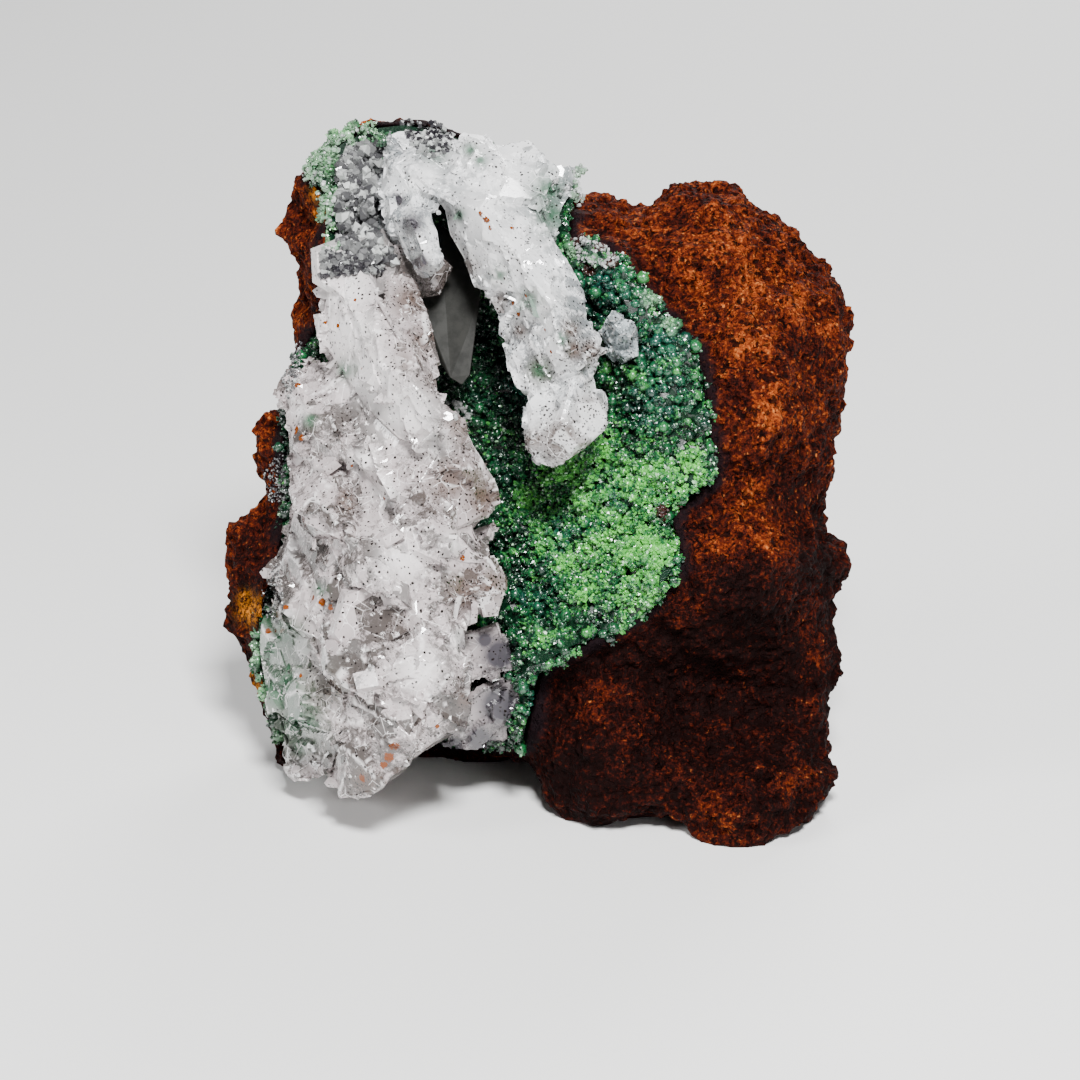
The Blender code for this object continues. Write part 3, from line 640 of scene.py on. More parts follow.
class NodeSheet:
    """A node tree with short calls that add nodes and join them."""

    def __init__(self, tree: bpy.types.NodeTree) -> None:
        """Starts on a tree."""
        self.tree = tree

    def add(
        self, kind: str, values: dict[str | int, object] | None = None, **settings: object
    ) -> bpy.types.Node:
        """Adds a node.

        Args:
            kind: The node's type name after ShaderNode.
            values: Its inputs by name or number, each a plain value or another node's output.
            settings: Its properties.

        Returns:
            The node.
        """
        node = self.tree.nodes.new(f"ShaderNode{kind}")
        for name, value in settings.items():
            setattr(node, name, value)
        for name, value in (values or {}).items():
            self.feed(node.inputs[name], value)
        return node

    def feed(self, socket: bpy.types.NodeSocket, value: object) -> None:
        """Sets a socket, or joins an output to it.

        Args:
            socket: The socket.
            value: A plain value, or another node's output.
        """
        if isinstance(value, bpy.types.NodeSocket):
            self.tree.links.new(value, socket)
        elif isinstance(value, tuple) and len(value) == 3 and socket.type == "RGBA":
            socket.default_value = (*value, 1.0)
        else:
            socket.default_value = value

    def coordinates(self) -> bpy.types.NodeSocket:
        """The object's own coordinates."""
        return self.add("TexCoord").outputs["Object"]

    def noise(self, size: float, detail: float = 3.0, roughness: float = 0.55) -> bpy.types.NodeSocket:
        """Noise.

        Args:
            size: The size of its features in metres.
            detail: How many finer layers it has.
            roughness: How strong these are.

        Returns:
            The noise, near 0.5 on average.
        """
        values = {
            "Vector": self.coordinates(), "Scale": 1.0 / size, "Detail": detail, "Roughness": roughness,
        }
        return self.add("TexNoise", values).outputs["Fac"]

    def cells(self, size: float, output: str = "Distance", feature: str = "F1") -> bpy.types.NodeSocket:
        """A cell pattern whose cells are a size in metres."""
        values = {"Vector": self.coordinates(), "Scale": 1.0 / size}
        return self.add("TexVoronoi", values, feature=feature).outputs[output]

    def specks(self, size: float, share: object, reach: float) -> bpy.types.NodeSocket:
        """Fine specks, one at most in each cell.

        Args:
            size: The size of the cells in metres.
            share: The share of cells that hold a speck.
            reach: The specks' radius beside the cells' size.

        Returns:
            The specks' mask.
        """
        return self.group(PEPPER, {"Scale": 1.0 / size, "Share": share, "Size": reach}).outputs["Mask"]

    def attribute(self, name: str) -> bpy.types.NodeSocket:
        """A value that the mesh carries."""
        return self.add("Attribute", attribute_name=name).outputs["Fac"]

    def math(self, operation: str, first: object, second: object) -> bpy.types.NodeSocket:
        """A sum on two values."""
        return self.add("Math", {0: first, 1: second}, operation=operation).outputs[0]

    def share(self, first: object, second: object) -> bpy.types.NodeSocket:
        """The product of two values, kept between 0 and 1."""
        return self.add("Math", {0: first, 1: second}, operation="MULTIPLY", use_clamp=True).outputs[0]

    def total(self, start: object, parts: Iterable[tuple[object, float]]) -> bpy.types.NodeSocket:
        """Adds values to a start, each times its own weight.

        Args:
            start: The start.
            parts: Each value and its weight.

        Returns:
            The sum.
        """
        result = start
        for value, weight in parts:
            terms = {0: value, 1: weight, 2: result}
            result = self.add("Math", terms, operation="MULTIPLY_ADD").outputs[0]
        return result

    def step(self, value: object, low: float, high: float) -> bpy.types.NodeSocket:
        """A soft step of a value from 0 at low to 1 at high."""
        values = {"Value": value, "From Min": low, "From Max": high}
        return self.add("MapRange", values, interpolation_type="SMOOTHSTEP").outputs["Result"]

    def between(self, value: object, low: float, high: float) -> bpy.types.NodeSocket:
        """A value from 0 to 1 brought between low and high."""
        return self.add("MapRange", {"Value": value, "To Min": low, "To Max": high}).outputs["Result"]

    def mix(self, factor: object, first: object, second: object) -> bpy.types.NodeSocket:
        """Two colours mixed, the second by a factor."""
        colours = {0: factor, 6: first, 7: second}
        return self.add("Mix", colours, data_type="RGBA", clamp_result=True).outputs[2]

    def layered(self, base: object, layers: Iterable[tuple[object, Colour]]) -> bpy.types.NodeSocket:
        """Lays colours over a colour, one after another.

        Args:
            base: The colour below.
            layers: How much of each layer shows, and its colour.

        Returns:
            The colour.
        """
        for factor, colour in layers:
            base = self.mix(factor, base, colour)
        return base

    def ramp(self, factor: object, stops: Sequence[tuple[float, Colour]]) -> bpy.types.NodeSocket:
        """A colour ramp.

        Args:
            factor: The place on the ramp.
            stops: Each stop's place and colour.

        Returns:
            The colour.
        """
        node = self.add("ValToRGB", {"Fac": factor})
        elements = node.color_ramp.elements
        while len(elements) < len(stops):
            elements.new(0.5)
        for element, (place, colour) in zip(elements, stops):
            element.position = place
            element.color = (*colour, 1.0)
        return node.outputs["Color"]

    def bump(
        self, height: object, distance: float, strength: float, normal: object = None
    ) -> bpy.types.NodeSocket:
        """A bump of a height in metres.

        Args:
            height: The pattern.
            distance: How far the pattern's 1 stands above its 0.
            strength: How much of it shows.
            normal: A normal to start from.

        Returns:
            The bent normal.
        """
        values = {"Height": height, "Distance": distance, "Strength": strength}
        if normal is not None:
            values["Normal"] = normal
        return self.add("Bump", values).outputs["Normal"]

    def group(self, tree: bpy.types.NodeTree, values: dict[str, object]) -> bpy.types.Node:
        """Places a node group.

        Args:
            tree: The group.
            values: Its inputs.

        Returns:
            The node.
        """
        node = self.tree.nodes.new("ShaderNodeGroup")
        node.node_tree = tree
        for name, value in values.items():
            self.feed(node.inputs[name], value)
        return node


def new_group(
    name: str, inputs: dict[str, float], outputs: Sequence[str]
) -> tuple[bpy.types.NodeTree, NodeSheet]:
    """Makes an empty node group with its sockets.

    Args:
        name: The group's name.
        inputs: Its inputs and their first values.
        outputs: Its outputs, all plain values.

    Returns:
        The group and a sheet to fill it with.
    """
    tree = bpy.data.node_groups.new(name, "ShaderNodeTree")
    for label, value in inputs.items():
        socket = tree.interface.new_socket(name=label, in_out="INPUT", socket_type="NodeSocketFloat")
        socket.default_value = value
    for label in outputs:
        tree.interface.new_socket(name=label, in_out="OUTPUT", socket_type="NodeSocketFloat")
    tree.nodes.new("NodeGroupInput")
    tree.nodes.new("NodeGroupOutput")
    return tree, NodeSheet(tree)


def grain_group() -> bpy.types.NodeTree:
    """The earthy grain of the rock.

    Returns:
        A group with a scale and a depth of pits, and the grain's height.
    """
    tree, sheet = new_group("earthy_grain", {"Scale": 1000.0, "Pits": 0.5}, ("Height",))
    given = tree.nodes["Group Input"].outputs
    pattern = {"Vector": sheet.coordinates(), "Scale": given["Scale"]}
    coarse = sheet.add("TexNoise", {**pattern, "Detail": 4.0, "Roughness": 0.7}).outputs["Fac"]
    ridges = sheet.add("TexNoise", {**pattern, "Detail": 2.0, "Distortion": 1.2}).outputs["Fac"]
    pit = sheet.share(sheet.step(ridges, 0.56, 0.70), given["Pits"])
    sheet.feed(tree.nodes["Group Output"].inputs["Height"], sheet.math("SUBTRACT", coarse, pit))
    return tree


def pepper_group() -> bpy.types.NodeTree:
    """Fine specks of uneven size and outline, on the calcite and on the rock.

    Returns:
        A group with a scale, a share of cells that hold a speck and a speck size, and the specks' mask.
    """
    tree, sheet = new_group("pepper_specks", {"Scale": 1200.0, "Share": 0.4, "Size": 0.2}, ("Mask",))
    given = tree.nodes["Group Input"].outputs
    place = sheet.coordinates()
    cells = sheet.add("TexVoronoi", {"Vector": place, "Scale": given["Scale"]}, feature="F1").outputs
    pick = sheet.add("SeparateColor", {"Color": cells["Color"]}).outputs
    chosen = sheet.math("LESS_THAN", pick["Red"], given["Share"])
    reach = sheet.math("MULTIPLY", given["Size"], sheet.between(pick["Green"], 0.35, 1.25))
    core = sheet.math("MULTIPLY", reach, 0.65)
    frayed = sheet.add("TexNoise", {"Vector": place, "Scale": 5.0 / MM, "Detail": 1.0}).outputs["Fac"]
    away = sheet.math("ADD", cells["Distance"], sheet.between(frayed, -0.22, 0.22))
    near = sheet.add("MapRange", {"Value": away, "From Min": reach, "From Max": core}).outputs["Result"]
    sheet.feed(tree.nodes["Group Output"].inputs["Mask"], sheet.share(chosen, near))
    return tree


GRAIN = grain_group()
PEPPER = pepper_group()


def principled(name: str, plain: dict[str, object]) -> tuple[bpy.types.Material, NodeSheet, bpy.types.Node]:
    """Starts a Principled material.

    Args:
        name: The material's name.
        plain: Values that are the same all over it.

    Returns:
        The material, a sheet on its tree, and its shader.
    """
    made = bpy.data.materials.new(name)
    made.use_nodes = True
    shader = made.node_tree.nodes["Principled BSDF"]
    for label, value in plain.items():
        shader.inputs[label].default_value = value
    return made, NodeSheet(made.node_tree), shader


@dataclass(frozen=True)
class LimoniteFinish:
    """Rusty iron rock: maroon in its pits, orange on its crests, near black beside the crust."""

    pit: Colour = (0.0045, 0.0008, 0.0006)
    maroon: Colour = (0.019, 0.0023, 0.0013)
    rust: Colour = (0.075, 0.0095, 0.0025)
    orange: Colour = (0.24, 0.046, 0.0075)
    pale: Colour = (0.42, 0.13, 0.030)
    goethite: Colour = (0.006, 0.003, 0.0042)
    ochre: Colour = (0.42, 0.14, 0.010)
    lump_size: float = 2.4 * MM
    hole_size: float = 1.0 * MM
    grain_size: float = 0.70 * MM
    pit_size: float = 0.62 * MM
    lit_size: float = 0.47 * MM
    fine_size: float = 0.42 * MM
    grain_height: float = 0.30 * MM
    fine_height: float = 0.16 * MM
    darkness: float = -1.35

    def material(self) -> bpy.types.Material:
        """The finish as a material that reads the attributes relief, warm, rim and ochre.

        Returns:
            The material.
        """
        made, sheet, shader = principled("limonite", {"Specular IOR Level": 0.05})
        grain = sheet.group(GRAIN, {"Scale": 1.0 / self.grain_size, "Pits": 0.4}).outputs["Height"]
        lumps = sheet.noise(self.lump_size, 3.0, 0.65)
        fine = sheet.noise(self.fine_size, 3.0, 0.8)
        relief, warm = sheet.attribute("relief"), sheet.attribute("warm")
        parts = ((relief, 0.22), (warm, 0.44), (lumps, 0.7), (grain, 0.9), (fine, 1.5))
        tone = sheet.total(self.darkness, parts)
        stops = (
            (0.06, self.pit), (0.24, self.maroon), (0.48, self.rust), (0.72, self.orange), (0.95, self.pale),
        )
        lit = sheet.share(sheet.specks(self.lit_size, 0.38, 0.36), sheet.step(tone, 0.25, 0.6))
        wide = sheet.step(sheet.noise(self.hole_size, 2.0, 0.5), 0.60, 0.68)
        holes = sheet.math("MAXIMUM", wide, sheet.share(sheet.specks(self.pit_size, 0.5, 0.46), 0.8))
        layers = (
            (sheet.share(lit, 0.8), self.pale),
            (sheet.share(holes, 0.9), self.pit),
            (sheet.attribute("rim"), self.goethite),
            (sheet.share(sheet.attribute("ochre"), sheet.step(fine, 0.42, 0.56)), self.ochre),
        )
        sheet.feed(shader.inputs["Base Color"], sheet.layered(sheet.ramp(tone, stops), layers))
        sheet.feed(shader.inputs["Roughness"], sheet.between(fine, 0.50, 0.95))
        normal = sheet.bump(grain, self.grain_height, 0.9)
        normal = sheet.bump(holes, -self.grain_height, 0.8, normal)
        sheet.feed(shader.inputs["Normal"], sheet.bump(fine, self.fine_height, 0.9, normal))
        return made


@dataclass(frozen=True)
class ConichalciteFinish:
    """Glassy green grains: lime where they are lit, partly their own colour and partly painted light; teal
    and bottle green in the depth, the bottle green partly painted shade.
    """

    bottle: Colour = (0.0014, 0.015, 0.007)
    leaf: Colour = (0.0075, 0.098, 0.026)
    lime: Colour = (0.115, 0.47, 0.074)
    teal: Colour = (0.003, 0.066, 0.047)
    # Pale frosty green, partly painted glints on the sparkly rims.
    frost_and_glint: Colour = (0.34, 0.60, 0.34)
    earth: Colour = (0.030, 0.006, 0.004)
    speck_size: float = 0.22 * MM
    facet_size: float = 0.20 * MM
    facet_height: float = 0.05 * MM

    def material(self) -> bpy.types.Material:
        """The finish as a material that reads the attributes tone, teal, frost and earth.

        Returns:
            The material.
        """
        glass = {"Coat Weight": 0.28, "Coat Roughness": 0.12, "IOR": 1.7}
        made, sheet, shader = principled("conichalcite", glass)
        speck = sheet.noise(self.speck_size, 3.0, 0.65)
        tone = sheet.total(sheet.attribute("tone"), ((speck, 0.22),))
        green = sheet.ramp(tone, ((0.10, self.bottle), (0.48, self.leaf), (1.0, self.lime)))
        layers = (
            (sheet.attribute("teal"), self.teal),
            # Pale frosty colour over the green, partly painted glints.
            (sheet.attribute("frost_and_glint"), self.frost_and_glint),
            (sheet.attribute("earth"), self.earth),
        )
        sheet.feed(shader.inputs["Base Color"], sheet.layered(green, layers))
        sheet.feed(shader.inputs["Roughness"], sheet.between(speck, 0.10, 0.45))
        facets = sheet.cells(self.facet_size, "Color")
        sheet.feed(shader.inputs["Normal"], sheet.bump(facets, self.facet_height, 0.4))
        return made


@dataclass(frozen=True)
class CalciteFinish:
    """Cloudy white calcite, with pepper specks, warm dusty sides, rust stains and green depths."""

    name: str = "white_calcite"
    milk: Colour = (0.54, 0.475, 0.475)
    cloud: Colour = (0.090, 0.077, 0.072)
    warm: Colour = (0.115, 0.074, 0.058)
    bright: Colour = (0.98, 0.935, 0.93)
    green: Colour = (0.012, 0.095, 0.038)
    grey: Colour = (0.062, 0.056, 0.066)
    pepper: Colour = (0.008, 0.004, 0.003)
    rust: Colour = (0.19, 0.040, 0.0003)
    transmission: float = 0.14
    veil_size: float = 3.2 * MM
    crack_size: float = 1.7 * MM
    flake_size: float = 1.5 * MM
    wisp_size: float = 0.9 * MM
    glint_size: float = 0.80 * MM
    chip_size: float = 0.55 * MM
    speck_size: float = 0.40 * MM
    dust_size: float = 0.33 * MM
    grit_size: float = 0.26 * MM
    step_height: float = 0.08 * MM
    cloudiness: float = -1.16

    def material(self, stains: Sequence[tuple[Vector, float]]) -> bpy.types.Material:
        """The finish as a material that reads the attributes shade, edge, bright, dusty, green and grey.

        Args:
            stains: The middle and the radius of each rust stain.

        Returns:
            The material.
        """
        plain = {
            "IOR": 1.58, "Transmission Weight": self.transmission, "Coat Roughness": 0.06, "Coat IOR": 1.6,
        }
        made, sheet, shader = principled(self.name, plain)
        veil = sheet.noise(self.veil_size, 2.0, 0.6)
        wisp = sheet.noise(self.wisp_size, 3.0, 0.75)
        grit = sheet.noise(self.grit_size, 2.0, 0.9)
        flake = self.flakes(sheet, self.flake_size)
        chip = self.flakes(sheet, self.chip_size)
        # Painted reflection: each crystal face is made lighter or darker by its own random level.
        face_sheen = sheet.attribute("face_sheen")
        parts = ((veil, 0.8), (wisp, 0.45), (grit, 1.0), (flake, 0.34), (chip, 0.26), (face_sheen, 0.8))
        cloudy = sheet.total(self.cloudiness, parts)
        milky = sheet.mix(sheet.step(cloudy, 0.30, 0.92), self.cloud, self.milk)
        stained = self.stained(sheet, stains, grit)
        layers = (
            (sheet.share(sheet.attribute("dusty"), 0.88), self.warm),
            # Partly painted light: whiter calcite where the upper crystals and the blade catch the light.
            (sheet.share(sheet.attribute("bright"), 0.85), self.bright),
            (sheet.share(sheet.attribute("green"), 0.92), self.green),
            (self.lines(sheet, veil), self.bright),
            # Painted glints: small white flecks that stand in for sparkle.
            (self.painted_glints(sheet, grit), self.bright),
            (sheet.share(sheet.attribute("grey"), 1.35), self.grey),
            (self.peppered(sheet), self.pepper),
            (stained, self.rust),
        )
        sheet.feed(shader.inputs["Base Color"], sheet.layered(milky, layers))
        sheet.feed(shader.inputs["Coat Weight"], sheet.between(stained, 0.5, 0.0))
        sheet.feed(shader.inputs["Roughness"], sheet.between(wisp, 0.06, 0.34))
        stepped = sheet.bump(flake, self.step_height, 0.6)
        sheet.feed(shader.inputs["Normal"], sheet.bump(wisp, self.step_height, 0.5, stepped))
        return made

    def lines(self, sheet: NodeSheet, veil: bpy.types.NodeSocket) -> bpy.types.NodeSocket:
        """The bright lines of inner cracks and of the edges between crystal faces.

        Args:
            sheet: The material's sheet.
            veil: Broad noise that leaves the cracks out here and there.

        Returns:
            The lines' mask.
        """
        edge = sheet.cells(self.crack_size, "Distance", "DISTANCE_TO_EDGE")
        crack = sheet.share(sheet.step(edge, 0.028, 0.004), sheet.step(veil, 0.47, 0.60))
        return sheet.math("MAXIMUM", sheet.share(crack, 0.8), sheet.share(sheet.attribute("edge"), 0.7))

    def painted_glints(self, sheet: NodeSheet, grit: bpy.types.NodeSocket) -> bpy.types.NodeSocket:
        """Where small white painted glints are, frayed by fine noise."""
        return sheet.share(sheet.specks(self.glint_size, 0.4, 0.34), sheet.step(grit, 0.46, 0.56))

    def peppered(self, sheet: NodeSheet) -> bpy.types.NodeSocket:
        """The dark specks, close together on dusty sides.

        Args:
            sheet: The material's sheet.

        Returns:
            The specks' mask.
        """
        sparse = sheet.specks(self.speck_size, 0.5, 0.35)
        dense = sheet.specks(self.dust_size, sheet.share(sheet.attribute("dusty"), 1.5), 0.37)
        return sheet.math("MAXIMUM", sparse, dense)

    @staticmethod
    def stained(
        sheet: NodeSheet, stains: Sequence[tuple[Vector, float]], grit: bpy.types.NodeSocket
    ) -> bpy.types.NodeSocket:
        """Where the rust stains are.

        Args:
            sheet: The material's sheet.
            stains: The middle and the radius of each stain.
            grit: Fine noise that frays them.

        Returns:
            The stains' mask.
        """
        place = sheet.coordinates()
        mask: object = 0.0
        for middle, radius in stains:
            away = sheet.add("VectorMath", {0: place, 1: middle}, operation="DISTANCE").outputs["Value"]
            mask = sheet.math("MAXIMUM", sheet.step(away, radius, 0.3 * radius), mask)
        return sheet.step(sheet.total(mask, ((grit, 2.4),)), 1.74, 1.88)

    @staticmethod
    def flakes(sheet: NodeSheet, size: float) -> bpy.types.NodeSocket:
        """Angular patches of one level each, like cleavage inside a crystal.

        Args:
            sheet: The material's sheet.
            size: The patches' size in metres.

        Returns:
            One random level for each patch.
        """
        values = {"Vector": sheet.coordinates(), "Scale": 1.0 / size}
        cells = sheet.add("TexVoronoi", values, feature="F1", distance="MANHATTAN")
        return sheet.add("SeparateColor", {"Color": cells.outputs["Color"]}).outputs["Red"]


@dataclass(frozen=True)
class WindowFinish:
    """The see-through grey crystal, with faint veils inside it."""

    # Partly painted shade: the tint and veils are made very dark, as the crystal lies in shade behind the
    # arm.
    tint: Colour = (0.030, 0.030, 0.025)
    veil: Colour = (0.018, 0.018, 0.015)
    veil_size: float = 1.4 * MM
    ripple_size: float = 0.5 * MM
    ripple_height: float = 0.05 * MM

    def material(self) -> bpy.types.Material:
        """The finish as a glassy material with plain transmission.

        Returns:
            The material.
        """
        glass = {"IOR": 1.5, "Transmission Weight": 0.5, "Specular IOR Level": 0.1}
        made, sheet, shader = principled("clear_calcite", glass)
        wisp = sheet.noise(self.veil_size, 5.0, 0.65)
        base = sheet.mix(sheet.step(wisp, 0.4, 0.62), self.tint, self.veil)
        sheet.feed(shader.inputs["Base Color"], base)
        sheet.feed(shader.inputs["Roughness"], sheet.between(wisp, 0.55, 0.8))
        ripples = sheet.noise(self.ripple_size)
        sheet.feed(shader.inputs["Normal"], sheet.bump(ripples, self.ripple_height, 0.4))
        return made


@dataclass(frozen=True)
class DruseFinish:
    """Tiny sparkling crystals, from grey to pale green, with white ones that are partly painted glints."""

    grey: Colour = (0.022, 0.020, 0.025)
    white: Colour = (0.66, 0.68, 0.66)
    green: Colour = (0.10, 0.34, 0.13)
    mottle_size: float = 0.5 * MM

    def material(self) -> bpy.types.Material:
        """The finish as a material that reads the attributes bright and green.

        Returns:
            The material.
        """
        plain = {"IOR": 1.58, "Transmission Weight": 0.2, "Coat Weight": 0.3, "Coat Roughness": 0.08}
        made, sheet, shader = principled("sparkling_druse", plain)
        mottle = sheet.noise(self.mottle_size)
        tinted = sheet.share(sheet.attribute("green"), sheet.step(mottle, 0.3, 0.55))
        layers = ((sheet.attribute("bright"), self.white), (tinted, self.green))
        sheet.feed(shader.inputs["Base Color"], sheet.layered(self.grey, layers))
        sheet.feed(shader.inputs["Roughness"], sheet.between(mottle, 0.08, 0.35))
        return made


def finish_piece(piece: bpy.types.Object, slot: str, material: bpy.types.Material) -> None:
    """Gives a piece its material and its body.

    Args:
        piece: The piece.
        slot: The slot's name; not used.
        material: The material.
    """
    piece.data.materials.clear()
    piece.data.materials.append(material)
    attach(piece, "root")
    LOG.info("%s: %d faces", piece.name, len(piece.data.polygons))


@dataclass
class LimoniteMatrix:
    """The rock: a copy of its solid with a lumpy, pitted and granular skin."""

    voxel: float = 0.415 * MM
    clear_of_crust: float = 0.6 * MM
    full_relief: float = 2.4 * MM
    crust_reach: float = 6.0 * MM
    flat_base: float = 0.1 * MM
    free_base: float = 1.5 * MM
    warmth: float = 0.17
    # Painted light: faces turned away from the front are made lighter.
    back_painted_light: float = 0.16
    # Partly painted light: how much warmer and lighter the rock is made in the warm patches.
    spot_warmth_and_light: float = 0.62
    # Painted shade: how much darker the rock is made over its lower rows.
    low_painted_shade: float = 0.50
    # Painted shade: how much darker the rock is made in its shaded patches.
    spot_painted_shade: float = 0.35
    left_chill: float = 0.75
    low_shade_rows: tuple[float, float] = (400.0, 640.0)
    left_columns: tuple[float, float] = (300.0, 345.0)
    front: tuple[float, float] = (2.0 * MM, 10.0 * MM)
    rim_size: float = 2.5 * MM
    rim_strength: float = 0.95
    ochre_depths: tuple[float, float] = (-14.0, -11.0)
    ochre_strength: float = 1.3
    reliefs: tuple[Relief, ...] = (
        Relief("CLOUDS", 4.8 * MM, 2.2 * MM, depth=3),
        Relief("CLOUDS", 1.8 * MM, 1.2 * MM, hard=True, depth=3),
        Relief("CLOUDS", 0.8 * MM, 0.5 * MM, depth=1),
    )
    # Warm patches: partly the rock's own orange, partly painted light on the lit dome and lumps.
    warm_and_lit_spots: tuple[Spot, ...] = (
        (670, 195, 38), (715, 225, 46), (640, 215, 24), (760, 275, 40), (800, 300, 26), (770, 415, 30),
        (750, 500, 26), (775, 535, 30), (720, 545, 24), (700, 605, 22), (605, 690, 18), (620, 735, 14),
        (715, 825, 34), (795, 785, 20), (815, 660, 14), (835, 330, 18), (690, 280, 24), (755, 345, 26),
    )
    # Patches of painted shade, on undercut faces turned down and away from the light.
    painted_shade_spots: tuple[Spot, ...] = (
        (735, 610, 40), (700, 680, 60), (760, 690, 45), (575, 770, 30), (820, 450, 22), (660, 350, 30),
        (690, 400, 26), (820, 560, 24), (590, 205, 22), (660, 230, 10),
    )
    ochre_spots: tuple[Spot, ...] = (
        (252, 610, 14), (256, 690, 9), (251, 672, 6), (320, 192, 10), (319, 215, 6), (246, 598, 8),
        (288, 372, 5), (325, 180, 8),
    )
    finish: LimoniteFinish = field(default_factory=LimoniteFinish)

    def build(self) -> bpy.types.Object:
        """Makes the rock.

        Returns:
            The finished rock.
        """
        rock = copy_of_node(Node.ROCK, "limonite_rock")
        remesh = rock.modifiers.new("Remesh", "REMESH")
        remesh.mode = "VOXEL"
        remesh.voxel_size = self.voxel
        apply_all(rock)
        places = vertex_places(rock.data)
        crust = distances(places, surface_tree([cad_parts[Node.CRUST.value]]), self.crust_reach)
        free = smooth_step(crust, self.clear_of_crust, self.full_relief)
        free *= smooth_step(places[:, 2], self.flat_base, self.free_base)
        vertex_group(rock, "free", free)
        for relief in self.reliefs:
            relief.add(rock, "free")
        normals = vertex_normals(rock.data)
        apply_all(rock)
        moved = vertex_places(rock.data)
        raised = ((moved - places) * normals).sum(axis=1)
        moved[:, 2] = np.maximum(moved[:, 2], 0.0)
        rock.data.vertices.foreach_set("co", moved.reshape(-1))
        rock.data.update()
        self.mark(rock, moved, crust, raised)
        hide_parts(Node.ROCK.value)
        finish_piece(rock, "limonite", self.finish.material())
        return rock

    def mark(
        self, rock: bpy.types.Object, places: np.ndarray, crust: np.ndarray, raised: np.ndarray
    ) -> None:
        """Keeps where the rock is raised, warm, dark beside the crust and ochre; its warmth holds painted
        light and painted shade as well.

        Args:
            rock: The rock.
            places: Its vertices.
            crust: Their distances from the crust.
            raised: How far each was pushed out.
        """
        seen = VIEW.seen_at(places)
        spread = float(np.percentile(np.abs(raised), 95))
        store(rock.data, "relief", np.clip(0.5 + 0.5 * raised / spread, 0.0, 1.0))
        facing = 1.0 - smooth_step(places[:, 1], *self.front)
        # Painted light: the rock away from the front is made lighter, where little light reaches.
        warm = self.warmth + self.back_painted_light * (1.0 - facing)
        # Partly painted light: lighter, warmer rock on the lit dome and lumps, besides its own orange.
        warm += self.spot_warmth_and_light * zone_mask(seen, self.warm_and_lit_spots) * facing
        # Painted shade: darker towards the bottom of the view, where less light falls from above.
        warm -= self.low_painted_shade * smooth_step(seen[:, 1], *self.low_shade_rows) * facing
        # Painted shade: darker patches where the rock faces down out of the light.
        warm -= self.spot_painted_shade * zone_mask(seen, self.painted_shade_spots) * facing
        left = 1.0 - smooth_step(seen[:, 0], *self.left_columns)
        warm *= 1.0 - self.left_chill * left * facing
        store(rock.data, "warm", np.clip(warm, -0.5, 1.0))
        wander = patches(places, self.rim_size)
        edge = 1.0 - smooth_step(crust, (0.4 + 1.2 * wander) * MM, (1.0 + 1.8 * wander) * MM)
        store(rock.data, "rim", self.rim_strength * edge)
        ochre = np.clip(self.ochre_strength * zone_mask(seen, self.ochre_spots), 0.0, 1.0)
        store(rock.data, "ochre", ochre * smooth_step(seen[:, 2], *self.ochre_depths))


